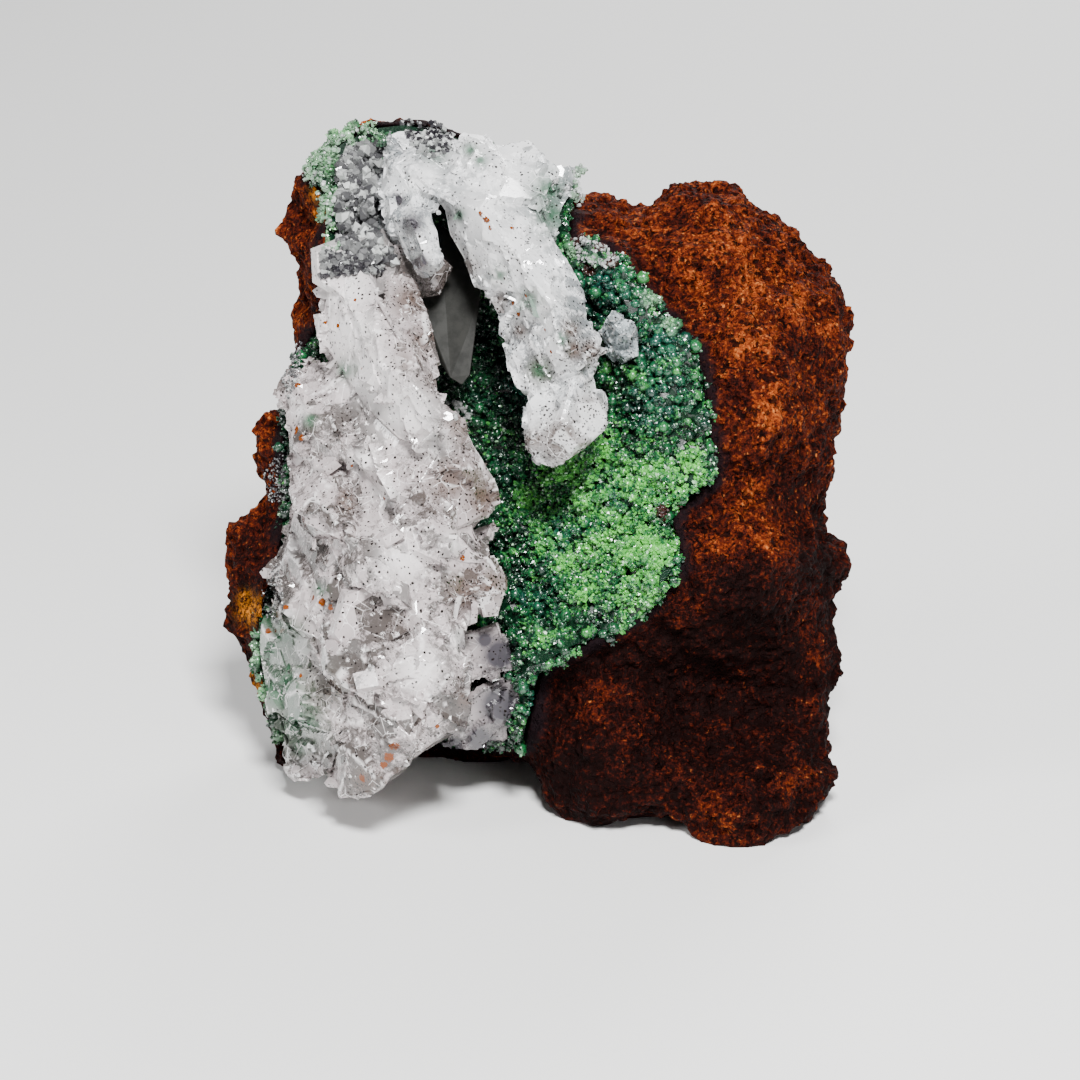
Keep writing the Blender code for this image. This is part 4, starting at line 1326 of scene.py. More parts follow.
@dataclass
class ConichalciteCrust:
    """The crust: its solid under thousands of small round grains, in lumps, with tiny chips that glitter."""

    grain_radius: tuple[float, float] = (0.24 * MM, 0.72 * MM)
    spacing: float = 0.62 * MM
    upper_spacing: float = 0.85 * MM
    tries: int = 60000
    clump_lift: float = 1.5 * MM
    chips: int = 44000
    chip_size: tuple[float, float] = (0.09 * MM, 0.26 * MM)
    hidden_gap: float = 1.1 * MM
    rock_gap: float = 0.25 * MM
    least_facing: float = 0.02
    clump_size: float = 1.5 * MM
    # Painted shade: the depths over which the grains darken into the hollow.
    hollow_shade_depths: tuple[float, float] = (-9.0, 7.0)
    tone: float = 0.03
    hollow_shade_tone: float = 0.16
    # Partly painted light: how far the lime patches raise the tone.
    lime_and_lit_tone: float = 0.56
    clump_tone: float = 1.35
    tone_spread: float = 0.24
    chip_spread: float = 0.38
    sparkle: float = 0.035
    seed: int = 40
    most_grains: int = 6000
    most_chips: int = 12000
    # Lime patches: partly the crust's own yellow green, partly painted light, also where the crust lies in
    # the arm's shadow.
    lime_and_lit_spots: tuple[Spot, ...] = (
        (640, 480, 45), (690, 470, 28), (620, 540, 50), (655, 545, 35), (640, 590, 35), (590, 500, 26),
        (590, 588, 24), (560, 560, 18), (600, 450, 26), (540, 640, 12), (580, 478, 34), (560, 470, 26),
        (575, 460, 22), (530, 500, 24), (545, 540, 24),
    )
    teal_spots: tuple[Spot, ...] = (
        (600, 285, 35), (620, 300, 30), (665, 345, 36), (660, 390, 36), (640, 350, 30), (520, 390, 24),
        (560, 535, 22), (615, 500, 14), (530, 600, 18), (535, 700, 20), (650, 420, 18),
    )
    # Frosty patches on the rims: partly pale crystals, partly painted sparkle.
    frost_and_glint_spots: tuple[Spot, ...] = (
        (322, 152, 24), (345, 137, 22), (372, 124, 18), (306, 174, 14), (330, 205, 20), (335, 240, 22),
        (325, 268, 16), (652, 300, 8), (670, 325, 8), (590, 262, 8), (583, 180, 16),
        (262, 650, 16), (268, 690, 16), (284, 730, 12), (575, 250, 10),
    )
    earth_spots: tuple[Spot, ...] = (
        (590, 268, 12), (612, 262, 8), (578, 240, 12), (664, 512, 10), (684, 508, 10), (600, 246, 8),
        (545, 700, 6), (452, 585, 5),
    )
    bare_outline: tuple[tuple[float, float], ...] = (
        (345, 100), (480, 100), (480, 150), (400, 134), (372, 128), (345, 138),
    )
    finish: ConichalciteFinish = field(default_factory=ConichalciteFinish)

    def build(self) -> list[bpy.types.Object]:
        """Makes the crust.

        Returns:
            The pieces made of grains and chips.
        """
        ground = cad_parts[Node.CRUST.value]
        material = self.finish.material()
        ground.data.materials.clear()
        ground.data.materials.append(material)
        rng = np.random.default_rng(self.seed)
        grains = self.scattered(ground)
        clumps = patches(np.array([list(place) for place, _, _ in grains]), self.clump_size, 5.0)
        smallest, largest = self.grain_radius
        centres, radii, axes, transforms = [], [], [], []
        for (place, normal, lift), clump in zip(grains, clumps):
            radius = smallest + (largest - smallest) * rng.random() ** 2
            raised = max(clump - 0.5, 0.0) * 2.0 * self.clump_lift
            centre = place + normal * (radius * lift + raised)
            scale = [radius * rng.uniform(0.85, 1.15) for _ in range(3)]
            transforms.append(aimed(centre, normal, rng.uniform(0.0, math.tau), scale))
            centres.append(list(centre))
            radii.append(radius)
            axes.append(list(normal))
        centres, radii, axes = np.array(centres), np.array(radii), np.array(axes)
        values = self.colours(centres, rng, self.tone_spread, 0.0)
        shape = new_grain(0.12, 3)
        made = self.pieces("grains", shape, transforms, values, centres, self.most_grains, material)
        for piece in made:
            only(piece)
            bpy.ops.object.shade_smooth()
        return made + self.glitter(centres, radii, axes, rng, material)

    def scattered(self, ground: bpy.types.Object) -> list[tuple[Vector, Vector, float]]:
        """Finds places for the grains on what shows of the crust, in a lower and an upper layer.

        Args:
            ground: The crust's solid.

        Returns:
            Each place with its normal and how far its grain stands out, in radii.
        """
        neighbours = (Node.MASS, Node.ARM, Node.SMALL, Node.WINDOW)
        crystals = surface_tree(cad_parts[node.value] for node in neighbours)
        rock = surface_tree([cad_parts[Node.ROCK.value]])

        def shows(place: Vector, normal: Vector) -> bool:
            """Whether a place faces the viewer, clear of the rock and of the crystals.

            Args:
                place: The place.
                normal: The crust's normal there.

            Returns:
                True for a place that may carry a grain.
            """
            if normal.dot(VIEW.towards) < self.least_facing:
                return False
            column, row, _ = VIEW.seen_at(np.array([list(place)]))[0]
            if inside_polygon(column, row, self.bare_outline):
                return False
            if rock.find_nearest(place, self.rock_gap)[0] is not None:
                return False
            return crystals.ray_cast(place + normal * 0.05 * MM, normal, self.hidden_gap)[0] is None

        lower = spread_over(ground, self.tries, self.spacing, self.seed + 1, shows)
        upper = spread_over(ground, self.tries // 3, self.upper_spacing, self.seed + 2, shows)
        return [(*found, 0.1) for found in lower] + [(*found, 0.7) for found in upper]

    def glitter(
        self, centres: np.ndarray, radii: np.ndarray, axes: np.ndarray, rng: np.random.Generator,
        material: bpy.types.Material,
    ) -> list[bpy.types.Object]:
        """Strews tiny chips on the outer sides of the grains, most of them where the crust is bright.

        Args:
            centres: The grains' middles.
            radii: Their radii.
            axes: The directions that they face.
            rng: The random draws.
            material: The finish.

        Returns:
            The pieces made of chips.
        """
        seen = VIEW.seen_at(centres)
        share = 0.25 + zone_mask(seen, self.lime_and_lit_spots) + 0.8 * zone_mask(seen, self.frost_and_glint_spots)
        picks = rng.choice(len(centres), size=self.chips, p=share / share.sum())
        lean = axes[picks] * 0.8 + rng.normal(0.0, 0.6, (self.chips, 3))
        lean /= np.linalg.norm(lean, axis=1)[:, None]
        places = centres[picks] + lean * radii[picks][:, None] * 0.95
        sizes = rng.uniform(*self.chip_size, self.chips) * (0.7 + 0.5 * np.clip(share[picks], 0.0, 1.0))
        spins = rng.uniform(0.0, math.tau, self.chips)
        longs = rng.uniform(0.8, 1.6, self.chips)
        transforms = [
            aimed(Vector(place), Vector(axis), spin, (size, size * 0.8, size * long))
            for place, axis, spin, size, long in zip(places, lean, spins, sizes, longs)
        ]
        values = self.colours(places, rng, self.chip_spread, self.sparkle)
        return self.pieces("chips", new_chip(0.15, 4), transforms, values, places, self.most_chips, material)

    def colours(
        self, centres: np.ndarray, rng: np.random.Generator, spread: float, sparkle: float
    ) -> dict[str, np.ndarray]:
        """The colour of each grain.

        Args:
            centres: The grains' middles.
            rng: The random draws.
            spread: How far the tones differ from grain to grain.
            sparkle: The share of white grains, which are painted glints.

        Returns:
            The attributes tone, teal, frost and earth.
        """
        seen = VIEW.seen_at(centres)
        # Painted shade: grains lying deeper in the hollow get a lower tone and turn darker green.
        depth = smooth_step(seen[:, 2], *self.hollow_shade_depths)
        # Partly painted light: the lime patches raise the tone, also in the arm's shadow.
        lime = zone_mask(seen, self.lime_and_lit_spots)
        clumps = 0.6 * patches(centres, 2.2 * MM, 3.0) + 0.4 * patches(centres, 0.9 * MM, 7.0)
        earth = zone_mask(seen, self.earth_spots) > 0.35 + 0.4 * rng.random(len(seen))
        tone = self.tone + self.hollow_shade_tone * depth + self.lime_and_lit_tone * lime + self.clump_tone * (clumps - 0.5)
        tone += rng.uniform(-spread, spread, len(seen))
        teal = 0.8 * zone_mask(seen, self.teal_spots) + 0.6 * (patches(centres, 3.5 * MM, 9.0) - 0.45)
        teal *= rng.uniform(0.3, 1.0, len(seen))
        # Painted glints: pale frosty colour on the rims, and near white on a few grains at random.
        frost_and_glint = 0.8 * zone_mask(seen, self.frost_and_glint_spots) * rng.uniform(0.1, 1.0, len(seen))
        frost_and_glint = np.where(rng.random(len(seen)) < sparkle, 0.9, frost_and_glint)
        return {
            "tone": np.clip(tone, 0.0, 1.0), "teal": np.clip(teal, 0.0, 0.9),
            "frost_and_glint": np.clip(frost_and_glint, 0.0, 1.0) * (1.0 - earth), "earth": earth,
        }

    def pieces(
        self, kind: str, shape: Stamp, transforms: list[Matrix], values: dict[str, np.ndarray],
        centres: np.ndarray, most: int, material: bpy.types.Material,
    ) -> list[bpy.types.Object]:
        """Joins the grains into pieces of a fair size, by their height in the hollow.

        Args:
            kind: What they are, for the pieces' names.
            shape: The shape that is copied.
            transforms: Where each copy goes.
            values: Their colours.
            centres: Their middles.
            most: How many copies one piece has at most.
            material: Their finish.

        Returns:
            The pieces.
        """
        made = []
        order = np.argsort(-centres[:, 2])
        for number, members in enumerate(np.array_split(order, math.ceil(len(order) / most))):
            chosen = [transforms[i] for i in members]
            named = {name: each[members] for name, each in values.items()}
            piece = shape.joined(f"conichalcite_{kind}_{number + 1}", chosen, named)
            finish_piece(piece, "conichalcite", material)
            made.append(piece)
        return made


def nearest_of(homes: Sequence[Vector], place: Vector) -> int:
    """The number of the nearest of some places."""
    return min(range(len(homes)), key=lambda i: (homes[i] - place).length)


@dataclass(frozen=True)
class Faceting:
    """Flat crystal faces cut into a surface, which meet in sharp edges and in small steps."""

    spacing: float = 2.4 * MM
    crystals: int = 22
    deepest: float = 0.6 * MM
    raised: float = 0.15 * MM
    rivals: int = 5
    edge: float = 0.05 * MM
    calm: float = 0.55
    rises: tuple[float, float] = (0.62, 0.12)
    tries: int = 40000
    least_slope: float = 0.35

    def directions(self, turn: Quaternion) -> list[Vector]:
        """The face directions of one crystal: a steep and a flat ring of faces, and its two ends.

        Args:
            turn: How the crystal is turned.

        Returns:
            The directions.
        """
        found = [Vector((0.0, 0.0, 1.0)), Vector((0.0, 0.0, -1.0))]
        steep, flat = self.rises
        third = math.tau / 3.0
        for rise, start in ((steep, 0.0), (-steep, third / 2.0), (flat, third / 2.0), (-flat, 0.0)):
            run = math.sqrt(1.0 - rise * rise)
            for step in range(3):
                angle = start + step * third
                found.append(Vector((math.cos(angle) * run, math.sin(angle) * run, rise)))
        return [turn @ direction for direction in found]

    def cut(self, piece: bpy.types.Object, free: np.ndarray, seed: int) -> tuple[np.ndarray, np.ndarray]:
        """Moves the vertices onto the planes of the faces.

        Args:
            piece: The object to cut.
            free: How freely each vertex may move, from 0 to 1.
            seed: The seed of the random draws.

        Returns:
            Each vertex's face sheen, one random level of painted reflection for each face, and how near it is
            to an edge between two faces.
        """
        seeds, faces = self.faces(piece, seed)
        places, normals = vertex_places(piece.data), vertex_normals(piece.data)
        face_sheen, edges = np.zeros(len(places)), np.zeros(len(places))
        moved = places.copy()
        for i, (spot, normal) in enumerate(zip(places, normals)):
            place, outward = Vector(spot), Vector(normal)
            heights = []
            for _, index, _ in seeds.find_n(place, self.rivals):
                middle, direction, level = faces[index]
                slope = max(outward.dot(direction), self.least_slope)
                heights.append(((middle - place).dot(direction) / slope, level))
            heights.sort()
            lowest = min(max(heights[0][0], -self.deepest), self.deepest)
            moved[i] += normal * lowest * free[i]
            face_sheen[i] = heights[0][1]
            edges[i] = float(heights[1][0] - heights[0][0] < self.edge)
        piece.data.vertices.foreach_set("co", moved.reshape(-1))
        piece.data.update()
        return face_sheen, edges

    def faces(
        self, piece: bpy.types.Object, seed: int
    ) -> tuple[KDTree, list[tuple[Vector, Vector, float]]]:
        """Spreads the planes of the faces over a surface.

        Args:
            piece: The object.
            seed: The seed of the random draws.

        Returns:
            A search tree of the faces' middles, and each face's middle, direction and face sheen.
        """
        rng = np.random.default_rng(seed)
        spots = spread_over(piece, self.tries, self.spacing, seed, lambda place, normal: True)
        homes = [spots[i][0] for i in rng.choice(len(spots), self.crystals, replace=False)]
        forms = [self.directions(Quaternion(rng.normal(0.0, 1.0, 4)).normalized()) for _ in homes]
        seeds = KDTree(len(spots))
        faces = []
        for index, (place, normal) in enumerate(spots):
            form = forms[nearest_of(homes, place)]
            best = max(form, key=lambda direction: direction.dot(normal))
            chosen = (best * (1.0 - self.calm) + normal * self.calm).normalized()
            faces.append((place + normal * self.raised * rng.random(), chosen, rng.random()))
            seeds.insert(place, index)
        seeds.balance()
        return seeds, faces


@dataclass
class CalcitePiece:
    """A mass of calcite: its solid, set all over with flat crystal faces that lie nearly in line."""

    node: Node
    name: str
    slot: str
    finish: CalciteFinish
    fineness: float = 0.5 * MM
    faceting: Faceting = Faceting()
    plates: int = 420
    spacing: float = 1.1 * MM
    plate_size: tuple[float, float] = (0.4 * MM, 2.2 * MM)
    tilt: tuple[float, float] = (0.03, 0.25)
    families: int = 14
    family_lean: float = 0.45
    lean: float = 0.12
    width: tuple[float, float] = (0.45, 0.85)
    lift: tuple[float, float] = (-0.02, 0.10)
    shrink: float = 0.7
    shrinks: int = 4
    root_gap: float = 0.22 * MM
    rock_gap: float = 0.6 * MM
    crust_reach: float = 3.0 * MM
    free: tuple[float, float] = (0.3 * MM, 1.2 * MM)
    trend: tuple[float, float, float] = (0.55, -0.75, 0.55)
    # Bright patches: partly whiter calcite, partly painted light on the lit tops.
    bright_and_lit_spots: tuple[Spot, ...] = ()
    dusty_spots: tuple[Spot, ...] = ()
    green_spots: tuple[Spot, ...] = ()
    grey_spots: tuple[Spot, ...] = ()
    stain_spots: tuple[Spot, ...] = ()
    gap_spots: tuple[Spot, ...] = ()
    seed: int = 1

    def build(self) -> list[bpy.types.Object]:
        """Makes the mass and its crystal faces.

        Returns:
            The pieces.
        """
        mass = copy_of_node(self.node, self.name)
        split_long_edges(mass, self.fineness)
        places = vertex_places(mass.data)
        crust = distances(places, surface_tree([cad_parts[Node.CRUST.value]]), self.crust_reach)
        face_sheen, edges = self.faceting.cut(mass, smooth_step(crust, *self.free), self.seed)
        only(mass)
        bpy.ops.object.shade_flat()
        body = surface_tree([mass])
        stains = [
            (VIEW.meets(body, column, row), radius * VIEW.unit) for column, row, radius in self.stain_spots
        ]
        material = self.finish.material(stains)
        self.mark(mass, vertex_places(mass.data), face_sheen, edges)
        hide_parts(self.node.value)
        finish_piece(mass, self.slot, material)
        grown = self.crystal_faces(mass, body, np.random.default_rng(self.seed))
        drop_flat_faces(mass)
        for piece in grown:
            finish_piece(piece, self.slot, material)
        return [mass, *grown]

    def crystal_faces(
        self, mass: bpy.types.Object, body: BVHTree, rng: np.random.Generator
    ) -> list[bpy.types.Object]:
        """Sets flat faces into the mass like shingles, each with its tip a little above the surface.

        Args:
            mass: The mass that carries them.
            body: The mass's surface.
            rng: The random draws.

        Returns:
            The faces, one piece for each shape.
        """
        ground = surface_tree([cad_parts[node.value] for node in (Node.CRUST, Node.ROCK)])

        def open_air(place: Vector, normal: Vector) -> bool:
            """Whether a place is clear of the rock and the crust."""
            return ground.find_nearest(place, self.rock_gap)[0] is None

        across, down, out = self.trend
        trend = (VIEW.right * across + VIEW.up * down + VIEW.towards * out).normalized()
        spots = spread_over(mass, self.plates * 6, self.spacing, self.seed, open_air)[: self.plates]
        homes = [spots[i][0] for i in rng.choice(len(spots), self.families, replace=False)]
        leans = [Vector(rng.normal(0.0, self.family_lean, 3)) for _ in homes]
        made = []
        for number, sides in enumerate((4, 6)):
            shape = new_plate(sides, 0.80, 0.45)
            root = [Vector(corner) for corner in shape.places if corner[2] < -0.1]
            transforms = []
            for place, normal in spots[number::2]:
                along = trend + leans[nearest_of(homes, place)]
                transforms += self.settled(place, normal, along, root, body, rng)
            transforms += self.fillings(body) if number else []
            piece = shape.joined(f"{self.name}_faces_{number + 1}", transforms, {})
            # Painted reflection: one random level for each small crystal face.
            face_sheen = np.repeat(rng.random(len(transforms)), len(shape.places))
            middles = np.repeat([list(moved.translation) for moved in transforms], len(shape.places), axis=0)
            self.mark(piece, middles, face_sheen, np.zeros(len(face_sheen)))
            made.append(piece)
        return made

    def settled(
        self, place: Vector, normal: Vector, trend: Vector, root: list[Vector], body: BVHTree,
        rng: np.random.Generator,
    ) -> list[Matrix]:
        """Tries ever smaller sizes of one crystal face, until its root lies inside the mass.

        Args:
            place: Where the face goes.
            normal: The mass's normal there.
            trend: The direction that its length follows.
            root: The corners of its root, for a face of one unit.
            body: The mass's surface.
            rng: The random draws.

        Returns:
            The face's transform, or nothing where no size fits.
        """
        smallest, largest = self.plate_size
        along = trend + Vector(rng.normal(0.0, self.lean, 3))
        along = (along - normal * along.dot(normal)).normalized()
        length = smallest + (largest - smallest) * rng.random() ** 1.5
        up = (normal - along * rng.uniform(*self.tilt) + Vector(rng.normal(0.0, 0.08, 3))).normalized()
        side = up.cross(along).normalized()
        turn = Matrix((side.cross(up), side, up)).transposed().to_4x4()
        width, lift = rng.uniform(*self.width), rng.uniform(*self.lift)
        for _ in range(self.shrinks):
            scale = Matrix.Diagonal((length, length * width, length, 1.0))
            moved = Matrix.Translation(place + normal * length * lift) @ turn @ scale
            if self.is_sunk([moved @ corner for corner in root], body):
                return [moved]
            length *= self.shrink
        return []

    def fillings(self, body: BVHTree) -> list[Matrix]:
        """Where broad crystal faces close the narrow gaps between the crystals of the mass.

        Args:
            body: The mass's surface.

        Returns:
            One transform for each face.
        """
        found = []
        for column, row, reach in self.gap_spots:
            around = [
                VIEW.meets(body, column + dx * reach, row + dy * reach)
                for dx, dy in ((-1.0, -1.0), (1.0, -1.0), (-1.0, 1.0), (1.0, 1.0))
            ]
            nearest = sorted(around, key=lambda place: -place.dot(VIEW.towards))[:2]
            depth = (nearest[0] + nearest[1]).dot(VIEW.towards) * 0.5
            flat = VIEW.place(column, row, 0.0)
            middle = flat + VIEW.towards * (depth - flat.dot(VIEW.towards))
            size = 2.6 * reach * VIEW.unit
            scale = (size, size * 0.8, size)
            found.append(aimed(middle - VIEW.towards * size * 0.05, VIEW.towards, column, scale))
        return found

    def is_sunk(self, corners: list[Vector], body: BVHTree) -> bool:
        """Whether all of a face's root lies inside the mass or only just outside it.

        Args:
            corners: The root's corners.
            body: The mass's surface.

        Returns:
            True for a root that is deep enough.
        """
        for corner in corners:
            nearest, normal, _, _ = body.find_nearest(corner)
            if (corner - nearest).dot(normal) > self.root_gap:
                return False
        return True

    def mark(self, piece: bpy.types.Object, places: np.ndarray, face_sheen: np.ndarray, edges: np.ndarray) -> None:
        """Keeps each vertex's face sheen, a painted reflection, and where a piece has edges and is bright,
        partly by painted light, dusty, green and grey.

        Args:
            piece: The piece.
            places: Where each vertex counts as being.
            face_sheen: The shade of each vertex.
            edges: How near each vertex is to an edge.
        """
        seen = VIEW.seen_at(places)
        normals = vertex_normals(piece.data)
        sideways = normals @ np.array((VIEW.right * 0.8 - VIEW.up * 0.6).normalized())
        dusty = zone_mask(seen, self.dusty_spots) + 0.35 * smooth_step(sideways, 0.35, 0.85)
        # Partly painted light: the bright patches lie on the lit top of the calcite and on its blade.
        bright = zone_mask(seen, self.bright_and_lit_spots)
        store(piece.data, "face_sheen", face_sheen)
        store(piece.data, "edge", edges)
        store(piece.data, "bright", bright)
        store(piece.data, "dusty", np.clip(dusty * (1.0 - 0.8 * bright), 0.0, 1.0))
        store(piece.data, "green", zone_mask(seen, self.green_spots))
        store(piece.data, "grey", zone_mask(seen, self.grey_spots))


def left_mass() -> CalcitePiece:
    """Describe the large white mass on the left.

    Returns:
        The piece, not built yet.
    """
    return CalcitePiece(
        node=Node.MASS,
        name="white_calcite_mass",
        slot="white_calcite",
        finish=CalciteFinish(),
        bright_and_lit_spots=(
            (345, 290, 32), (350, 330, 32), (370, 375, 30), (405, 415, 36), (430, 440, 20), (365, 460, 16),
            (385, 492, 14), (300, 412, 10), (455, 640, 10), (420, 670, 24), (300, 640, 8), (450, 545, 12),
            (400, 560, 26), (293, 545, 8),
        ),
        dusty_spots=(
            (405, 300, 22), (425, 340, 20), (430, 385, 16), (455, 430, 20), (450, 480, 30), (480, 500, 22),
            (490, 585, 20), (465, 590, 20), (345, 500, 12), (330, 690, 18), (365, 780, 14), (465, 700, 10),
            (400, 360, 16),
        ),
        green_spots=(
            (270, 650, 36), (278, 690, 42), (296, 724, 32), (285, 635, 22), (262, 620, 18), (345, 370, 12),
            (300, 745, 16), (310, 420, 8), (320, 590, 8),
        ),
        grey_spots=((500, 655, 24), (500, 705, 30), (480, 740, 20), (485, 640, 12), (455, 745, 12)),
        gap_spots=(
            (372, 620, 15), (386, 616, 11), (345, 272, 12), (372, 270, 13), (396, 270, 13), (418, 274, 11),
        ),
        stain_spots=(
            (394, 746, 9), (389, 757, 8), (384, 765, 6), (362, 778, 6), (296, 430, 7), (301, 438, 6),
            (298, 384, 7), (313, 598, 5), (322, 602, 7), (330, 607, 5), (286, 607, 5), (437, 726, 4),
            (326, 322, 4), (338, 326, 4), (355, 300, 3), (364, 368, 4), (462, 558, 5), (268, 632, 6),
            (384, 498, 3), (352, 466, 3), (300, 676, 4),
        ),
        seed=3,
    )


def hanging_arm() -> CalcitePiece:
    """Describe the arm across the hollow, with the roof crystals.

    Returns:
        The piece, not built yet.
    """
    return CalcitePiece(
        node=Node.ARM,
        name="white_calcite_arm",
        slot="arm_calcite",
        # Partly painted light: the arm's milk and cloud are lighter than the mass's, on the lit top of the
        # specimen.
        finish=CalciteFinish(
            name="arm_calcite", milk=(0.86, 0.87, 0.88), cloud=(0.22, 0.24, 0.25), bright=(0.98, 0.97, 0.97)
        ),
        faceting=Faceting(spacing=1.9 * MM, crystals=16, deepest=0.45 * MM),
        plates=240,
        plate_size=(0.4 * MM, 1.5 * MM),
        trend=(0.4, -0.8, 0.5),
        bright_and_lit_spots=(
            (470, 145, 40), (510, 175, 40), (480, 215, 44), (515, 245, 40), (540, 295, 24), (425, 175, 20),
            (580, 175, 8),
        ),
        dusty_spots=(
            (560, 440, 34), (590, 410, 20), (535, 440, 18), (590, 350, 14), (540, 370, 18), (470, 265, 12),
            (570, 330, 12), (575, 350, 16), (450, 235, 10), (500, 300, 10), (520, 330, 10),
        ),
        green_spots=(
            (552, 215, 22), (548, 190, 20), (435, 150, 14), (530, 300, 14), (540, 370, 12), (500, 275, 10),
            (470, 150, 10), (560, 340, 8), (460, 215, 8), (480, 160, 8),
        ),
        grey_spots=(
            (355, 175, 22), (350, 205, 18), (430, 135, 14), (445, 130, 10), (385, 250, 12), (412, 225, 12),
            (420, 262, 10), (398, 200, 8),
        ),
        stain_spots=(
            (480, 214, 5), (486, 220, 6), (490, 228, 4), (512, 228, 4), (513, 303, 4), (518, 314, 5),
            (534, 310, 4), (526, 296, 3), (545, 330, 3), (551, 352, 3),
        ),
        seed=5,
    )


def small_cluster() -> CalcitePiece:
    """Describe the small grey crystals on the crust.

    Returns:
        The piece, not built yet.
    """
    return CalcitePiece(
        node=Node.SMALL,
        name="grey_calcite_cluster",
        slot="grey_calcite",
        finish=CalciteFinish(name="grey_calcite", milk=(0.50, 0.56, 0.58), cloud=(0.20, 0.23, 0.24)),
        fineness=0.4 * MM,
        faceting=Faceting(spacing=1.0 * MM, crystals=5, deepest=0.3 * MM, calm=0.2),
        plates=60,
        spacing=0.4 * MM,
        plate_size=(0.3 * MM, 0.9 * MM),
        families=3,
        seed=8,
    )


@dataclass
class WindowCrystal:
    """The see-through grey crystal behind the arm."""

    bevel: float = 0.18 * MM
    flat_angle: float = math.radians(4.0)
    finish: WindowFinish = field(default_factory=WindowFinish)

    def build(self) -> bpy.types.Object:
        """Makes the crystal.

        Returns:
            The finished crystal.
        """
        crystal = copy_of_node(Node.WINDOW, "window_crystal")
        only(crystal)
        bpy.ops.object.mode_set(mode="EDIT")
        bpy.ops.mesh.select_all(action="SELECT")
        bpy.ops.mesh.dissolve_limited(angle_limit=self.flat_angle)
        bpy.ops.object.mode_set(mode="OBJECT")
        bevel = crystal.modifiers.new("Bevel", "BEVEL")
        bevel.width = self.bevel
        bevel.segments = 1
        bevel.limit_method = "ANGLE"
        apply_all(crystal)
        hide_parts(Node.WINDOW.value)
        finish_piece(crystal, "clear_calcite", self.finish.material())
        return crystal


@dataclass(frozen=True)
class DrusePatch:
    """One patch of tiny crystals, as an outline in the view."""

    outline: tuple[tuple[float, float], ...]
    tries: int
    size: tuple[float, float]
    bright: tuple[float, float]
    green: float = 0.0


@dataclass
class SparklingDruse:
    """Tiny crystals on the rims and in the upper left of the hollow."""

    patches: tuple[DrusePatch, ...] = (
        DrusePatch(
            ((340, 150), (382, 140), (384, 165), (376, 200), (376, 230), (398, 262), (345, 262), (336, 235)),
            700, (0.4, 1.5), (0.05, 1.0),
        ),
        DrusePatch(((322, 252), (384, 258), (384, 274), (322, 276)), 260, (0.4, 1.2), (0.0, 0.7)),
        DrusePatch(
            ((300, 172), (330, 140), (375, 122), (378, 134), (345, 148), (322, 176), (342, 212), (340, 262),
             (322, 275), (325, 215)),
            900, (0.25, 0.6), (0.5, 1.0), 0.6,
        ),
        DrusePatch(((402, 122), (455, 122), (452, 150), (430, 160), (412, 148)), 300, (0.3, 0.8), (0.0, 1.0)),
        DrusePatch(((568, 238), (595, 238), (618, 258), (612, 268), (580, 262)), 160, (0.2, 0.5), (0.5, 1.0)),
        DrusePatch(
            ((286, 350), (302, 340), (300, 380), (288, 400), (282, 380)), 300, (0.15, 0.35), (0.1, 0.9),
        ),
        DrusePatch(((262, 470), (285, 450), (286, 500), (270, 505)), 300, (0.15, 0.35), (0.0, 0.7)),
        DrusePatch(
            ((262, 590), (278, 560), (284, 600), (278, 625), (262, 615)), 300, (0.15, 0.32), (0.1, 0.9),
        ),
        DrusePatch(((446, 402), (466, 404), (470, 418), (456, 420)), 60, (0.3, 0.7), (0.6, 1.0)),
        DrusePatch(
            ((575, 165), (592, 168), (590, 188), (577, 210), (572, 195)), 120, (0.3, 0.7), (0.6, 1.0), 0.5,
        ),
        DrusePatch(((640, 285), (680, 326), (672, 332), (632, 294)), 150, (0.2, 0.45), (0.3, 1.0), 0.7),
    )
    lean: float = 0.6
    shape: tuple[float, float, float] = (0.5, 0.45, 0.8)
    sunk: float = 0.15
    white_from: float = 0.85
    seed: int = 60
    finish: DruseFinish = field(default_factory=DruseFinish)

    def build(self, carriers: list[bpy.types.Object]) -> bpy.types.Object:
        """Makes the druse where each patch's columns and rows meet the specimen.

        Args:
            carriers: The pieces that may carry it.

        Returns:
            The crystals as one piece.
        """
        tree = surface_tree(carriers)
        rng = np.random.default_rng(self.seed)
        grown = [crystal for patch in self.patches for crystal in self.crystals(patch, tree, rng)]
        transforms = [transform for transform, _, _ in grown]
        values = {
            "bright": np.array([shine for _, shine, _ in grown]),
            "green": np.array([tint for _, _, tint in grown]),
        }
        druse = new_chip(0.1, 6).joined("sparkling_druse", transforms, values)
        finish_piece(druse, "arm_calcite", self.finish.material())
        return druse

    def crystals(
        self, patch: DrusePatch, tree: BVHTree, rng: np.random.Generator
    ) -> Iterator[tuple[Matrix, float, float]]:
        """Grows the crystals of one patch.

        Args:
            patch: The patch.
            tree: The surfaces that carry it.
            rng: The random draws.

        Yields:
            Each crystal's transform, brightness and greenness.
        """
        columns = [column for column, _ in patch.outline]
        rows = [row for _, row in patch.outline]
        least, most = patch.bright
        for _ in range(patch.tries):
            column, row = rng.uniform(min(columns), max(columns)), rng.uniform(min(rows), max(rows))
            size = rng.uniform(*patch.size) * MM
            # Partly painted glints: a few crystals are made near white, and these stay untinted.
            shine = least + (most - least) * rng.random() ** 3
            lean = Vector(rng.uniform(-self.lean, self.lean, 3))
            if not inside_polygon(column, row, patch.outline):
                continue
            sight = (VIEW.place(column, row, 0.0) - VIEW.eye).normalized()
            place, normal, _, _ = tree.ray_cast(VIEW.eye, sight)
            if place is None:
                continue
            axis = (normal + lean).normalized()
            scale = [size * share for share in self.shape]
            stood = aimed(place - axis * size * self.sunk, axis, shine * math.tau, scale)
            yield stood, shine, patch.green if shine < self.white_from else 0.0


@dataclass(frozen=True)
class Lamp:
    """A square soft light."""

    name: str
    place: tuple[float, float, float]
    size: float
    power: float


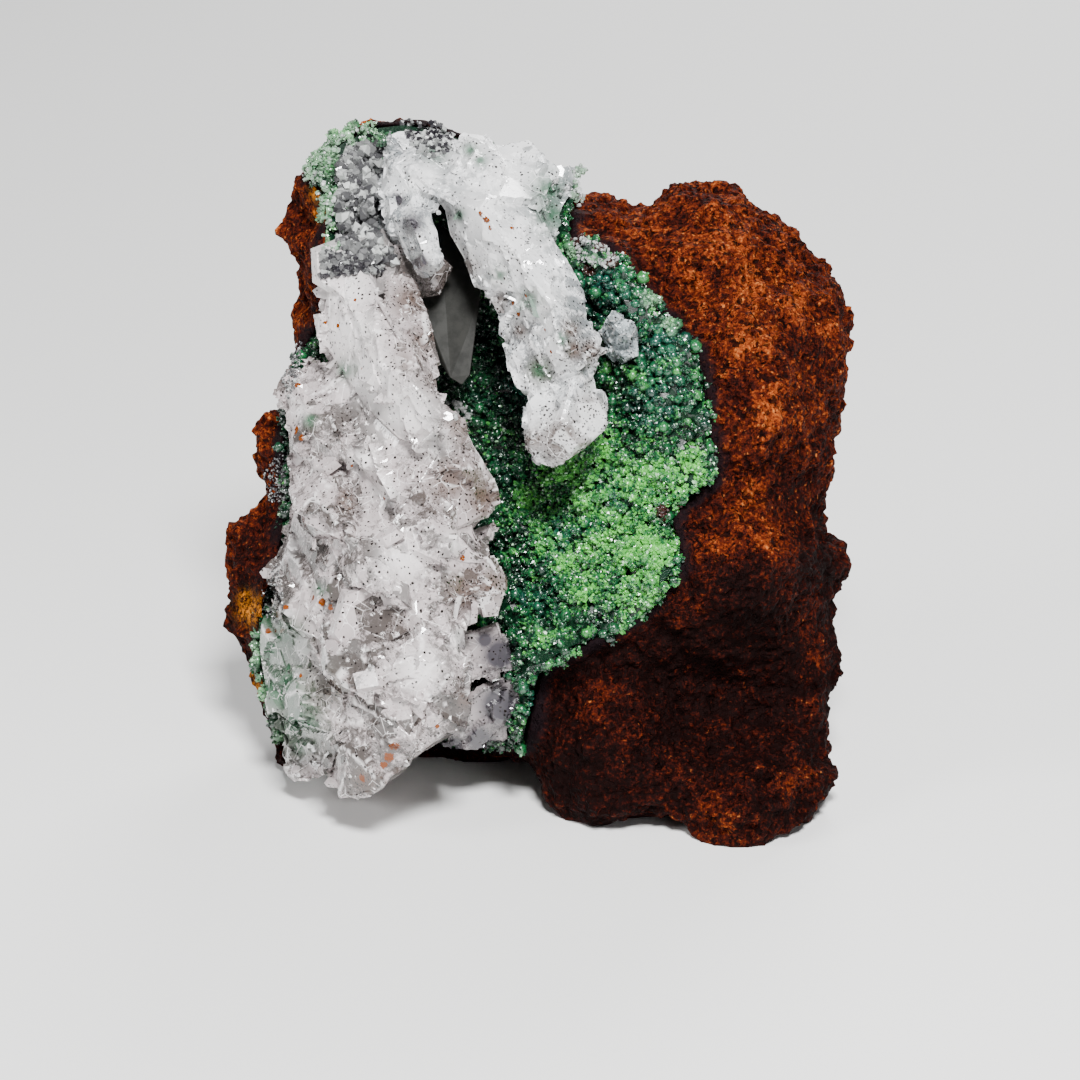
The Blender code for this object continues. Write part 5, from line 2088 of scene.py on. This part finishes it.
@dataclass
class Studio:
    """The floor, the soft lights and the camera."""

    floor_size: float = 3.0
    floor_colour: Colour = (0.86, 0.86, 0.85)
    world_colour: Colour = (0.80, 0.82, 0.85)
    world_strength: float = 0.12
    lit_place: tuple[float, float, float] = (0.0, 0.0, 0.03)
    lamps: tuple[Lamp, ...] = (
        Lamp("key_light", (0.05, -0.33, 0.44), 0.12, 7.4),
        Lamp("side_light", (-0.45, -0.20, 0.30), 0.16, 1.5),
        Lamp("back_light", (0.15, 0.50, 0.34), 0.24, 2.6),
        Lamp("front_light", (0.30, -0.50, 0.16), 0.22, 0.6),
    )

    def build(self) -> None:
        """Makes the floor, the lights and the camera."""
        self.floor()
        for lamp in self.lamps:
            self.light(lamp)
        self.world()
        self.camera()

    def floor(self) -> None:
        """Makes the plain pale floor."""
        bpy.ops.object.select_all(action="DESELECT")
        bpy.ops.mesh.primitive_plane_add(size=self.floor_size)
        floor = bpy.context.active_object
        floor.name = "floor"
        made, _, shader = principled("pale_floor", {"Roughness": 0.6})
        shader.inputs["Base Color"].default_value = (*self.floor_colour, 1.0)
        floor.data.materials.append(made)

    def light(self, lamp: Lamp) -> None:
        """Adds a light that faces the specimen.

        Args:
            lamp: The light.
        """
        data = bpy.data.lights.new(lamp.name, "AREA")
        data.size = lamp.size
        data.energy = lamp.power
        light = bpy.data.objects.new(lamp.name, data)
        bpy.context.scene.collection.objects.link(light)
        light.location = lamp.place
        aim = Vector(self.lit_place) - Vector(lamp.place)
        light.rotation_euler = aim.to_track_quat("-Z", "Y").to_euler()

    def world(self) -> None:
        """Sets the pale surroundings."""
        world = bpy.data.worlds.new("studio")
        world.use_nodes = True
        background = world.node_tree.nodes["Background"]
        background.inputs["Color"].default_value = (*self.world_colour, 1.0)
        background.inputs["Strength"].default_value = self.world_strength
        bpy.context.scene.world = world

    def camera(self) -> None:
        """Adds the camera at the display view."""
        data = bpy.data.cameras.new("camera")
        data.lens = VIEW.lens
        data.sensor_width = VIEW.sensor
        camera = bpy.data.objects.new("camera", data)
        bpy.context.scene.collection.objects.link(camera)
        camera.location = VIEW.eye
        camera.rotation_euler = (-VIEW.towards).to_track_quat("-Z", "Y").to_euler()
        bpy.context.scene.camera = camera


def main() -> None:
    """Builds every piece in order."""
    rock = LimoniteMatrix().build()
    grains = ConichalciteCrust().build()
    mass = left_mass().build()
    arm = hanging_arm().build()
    small_cluster().build()
    WindowCrystal().build()
    SparklingDruse().build([rock, *grains, *mass, *arm])
    Studio().build()


if __name__ == "__main__":
    main()
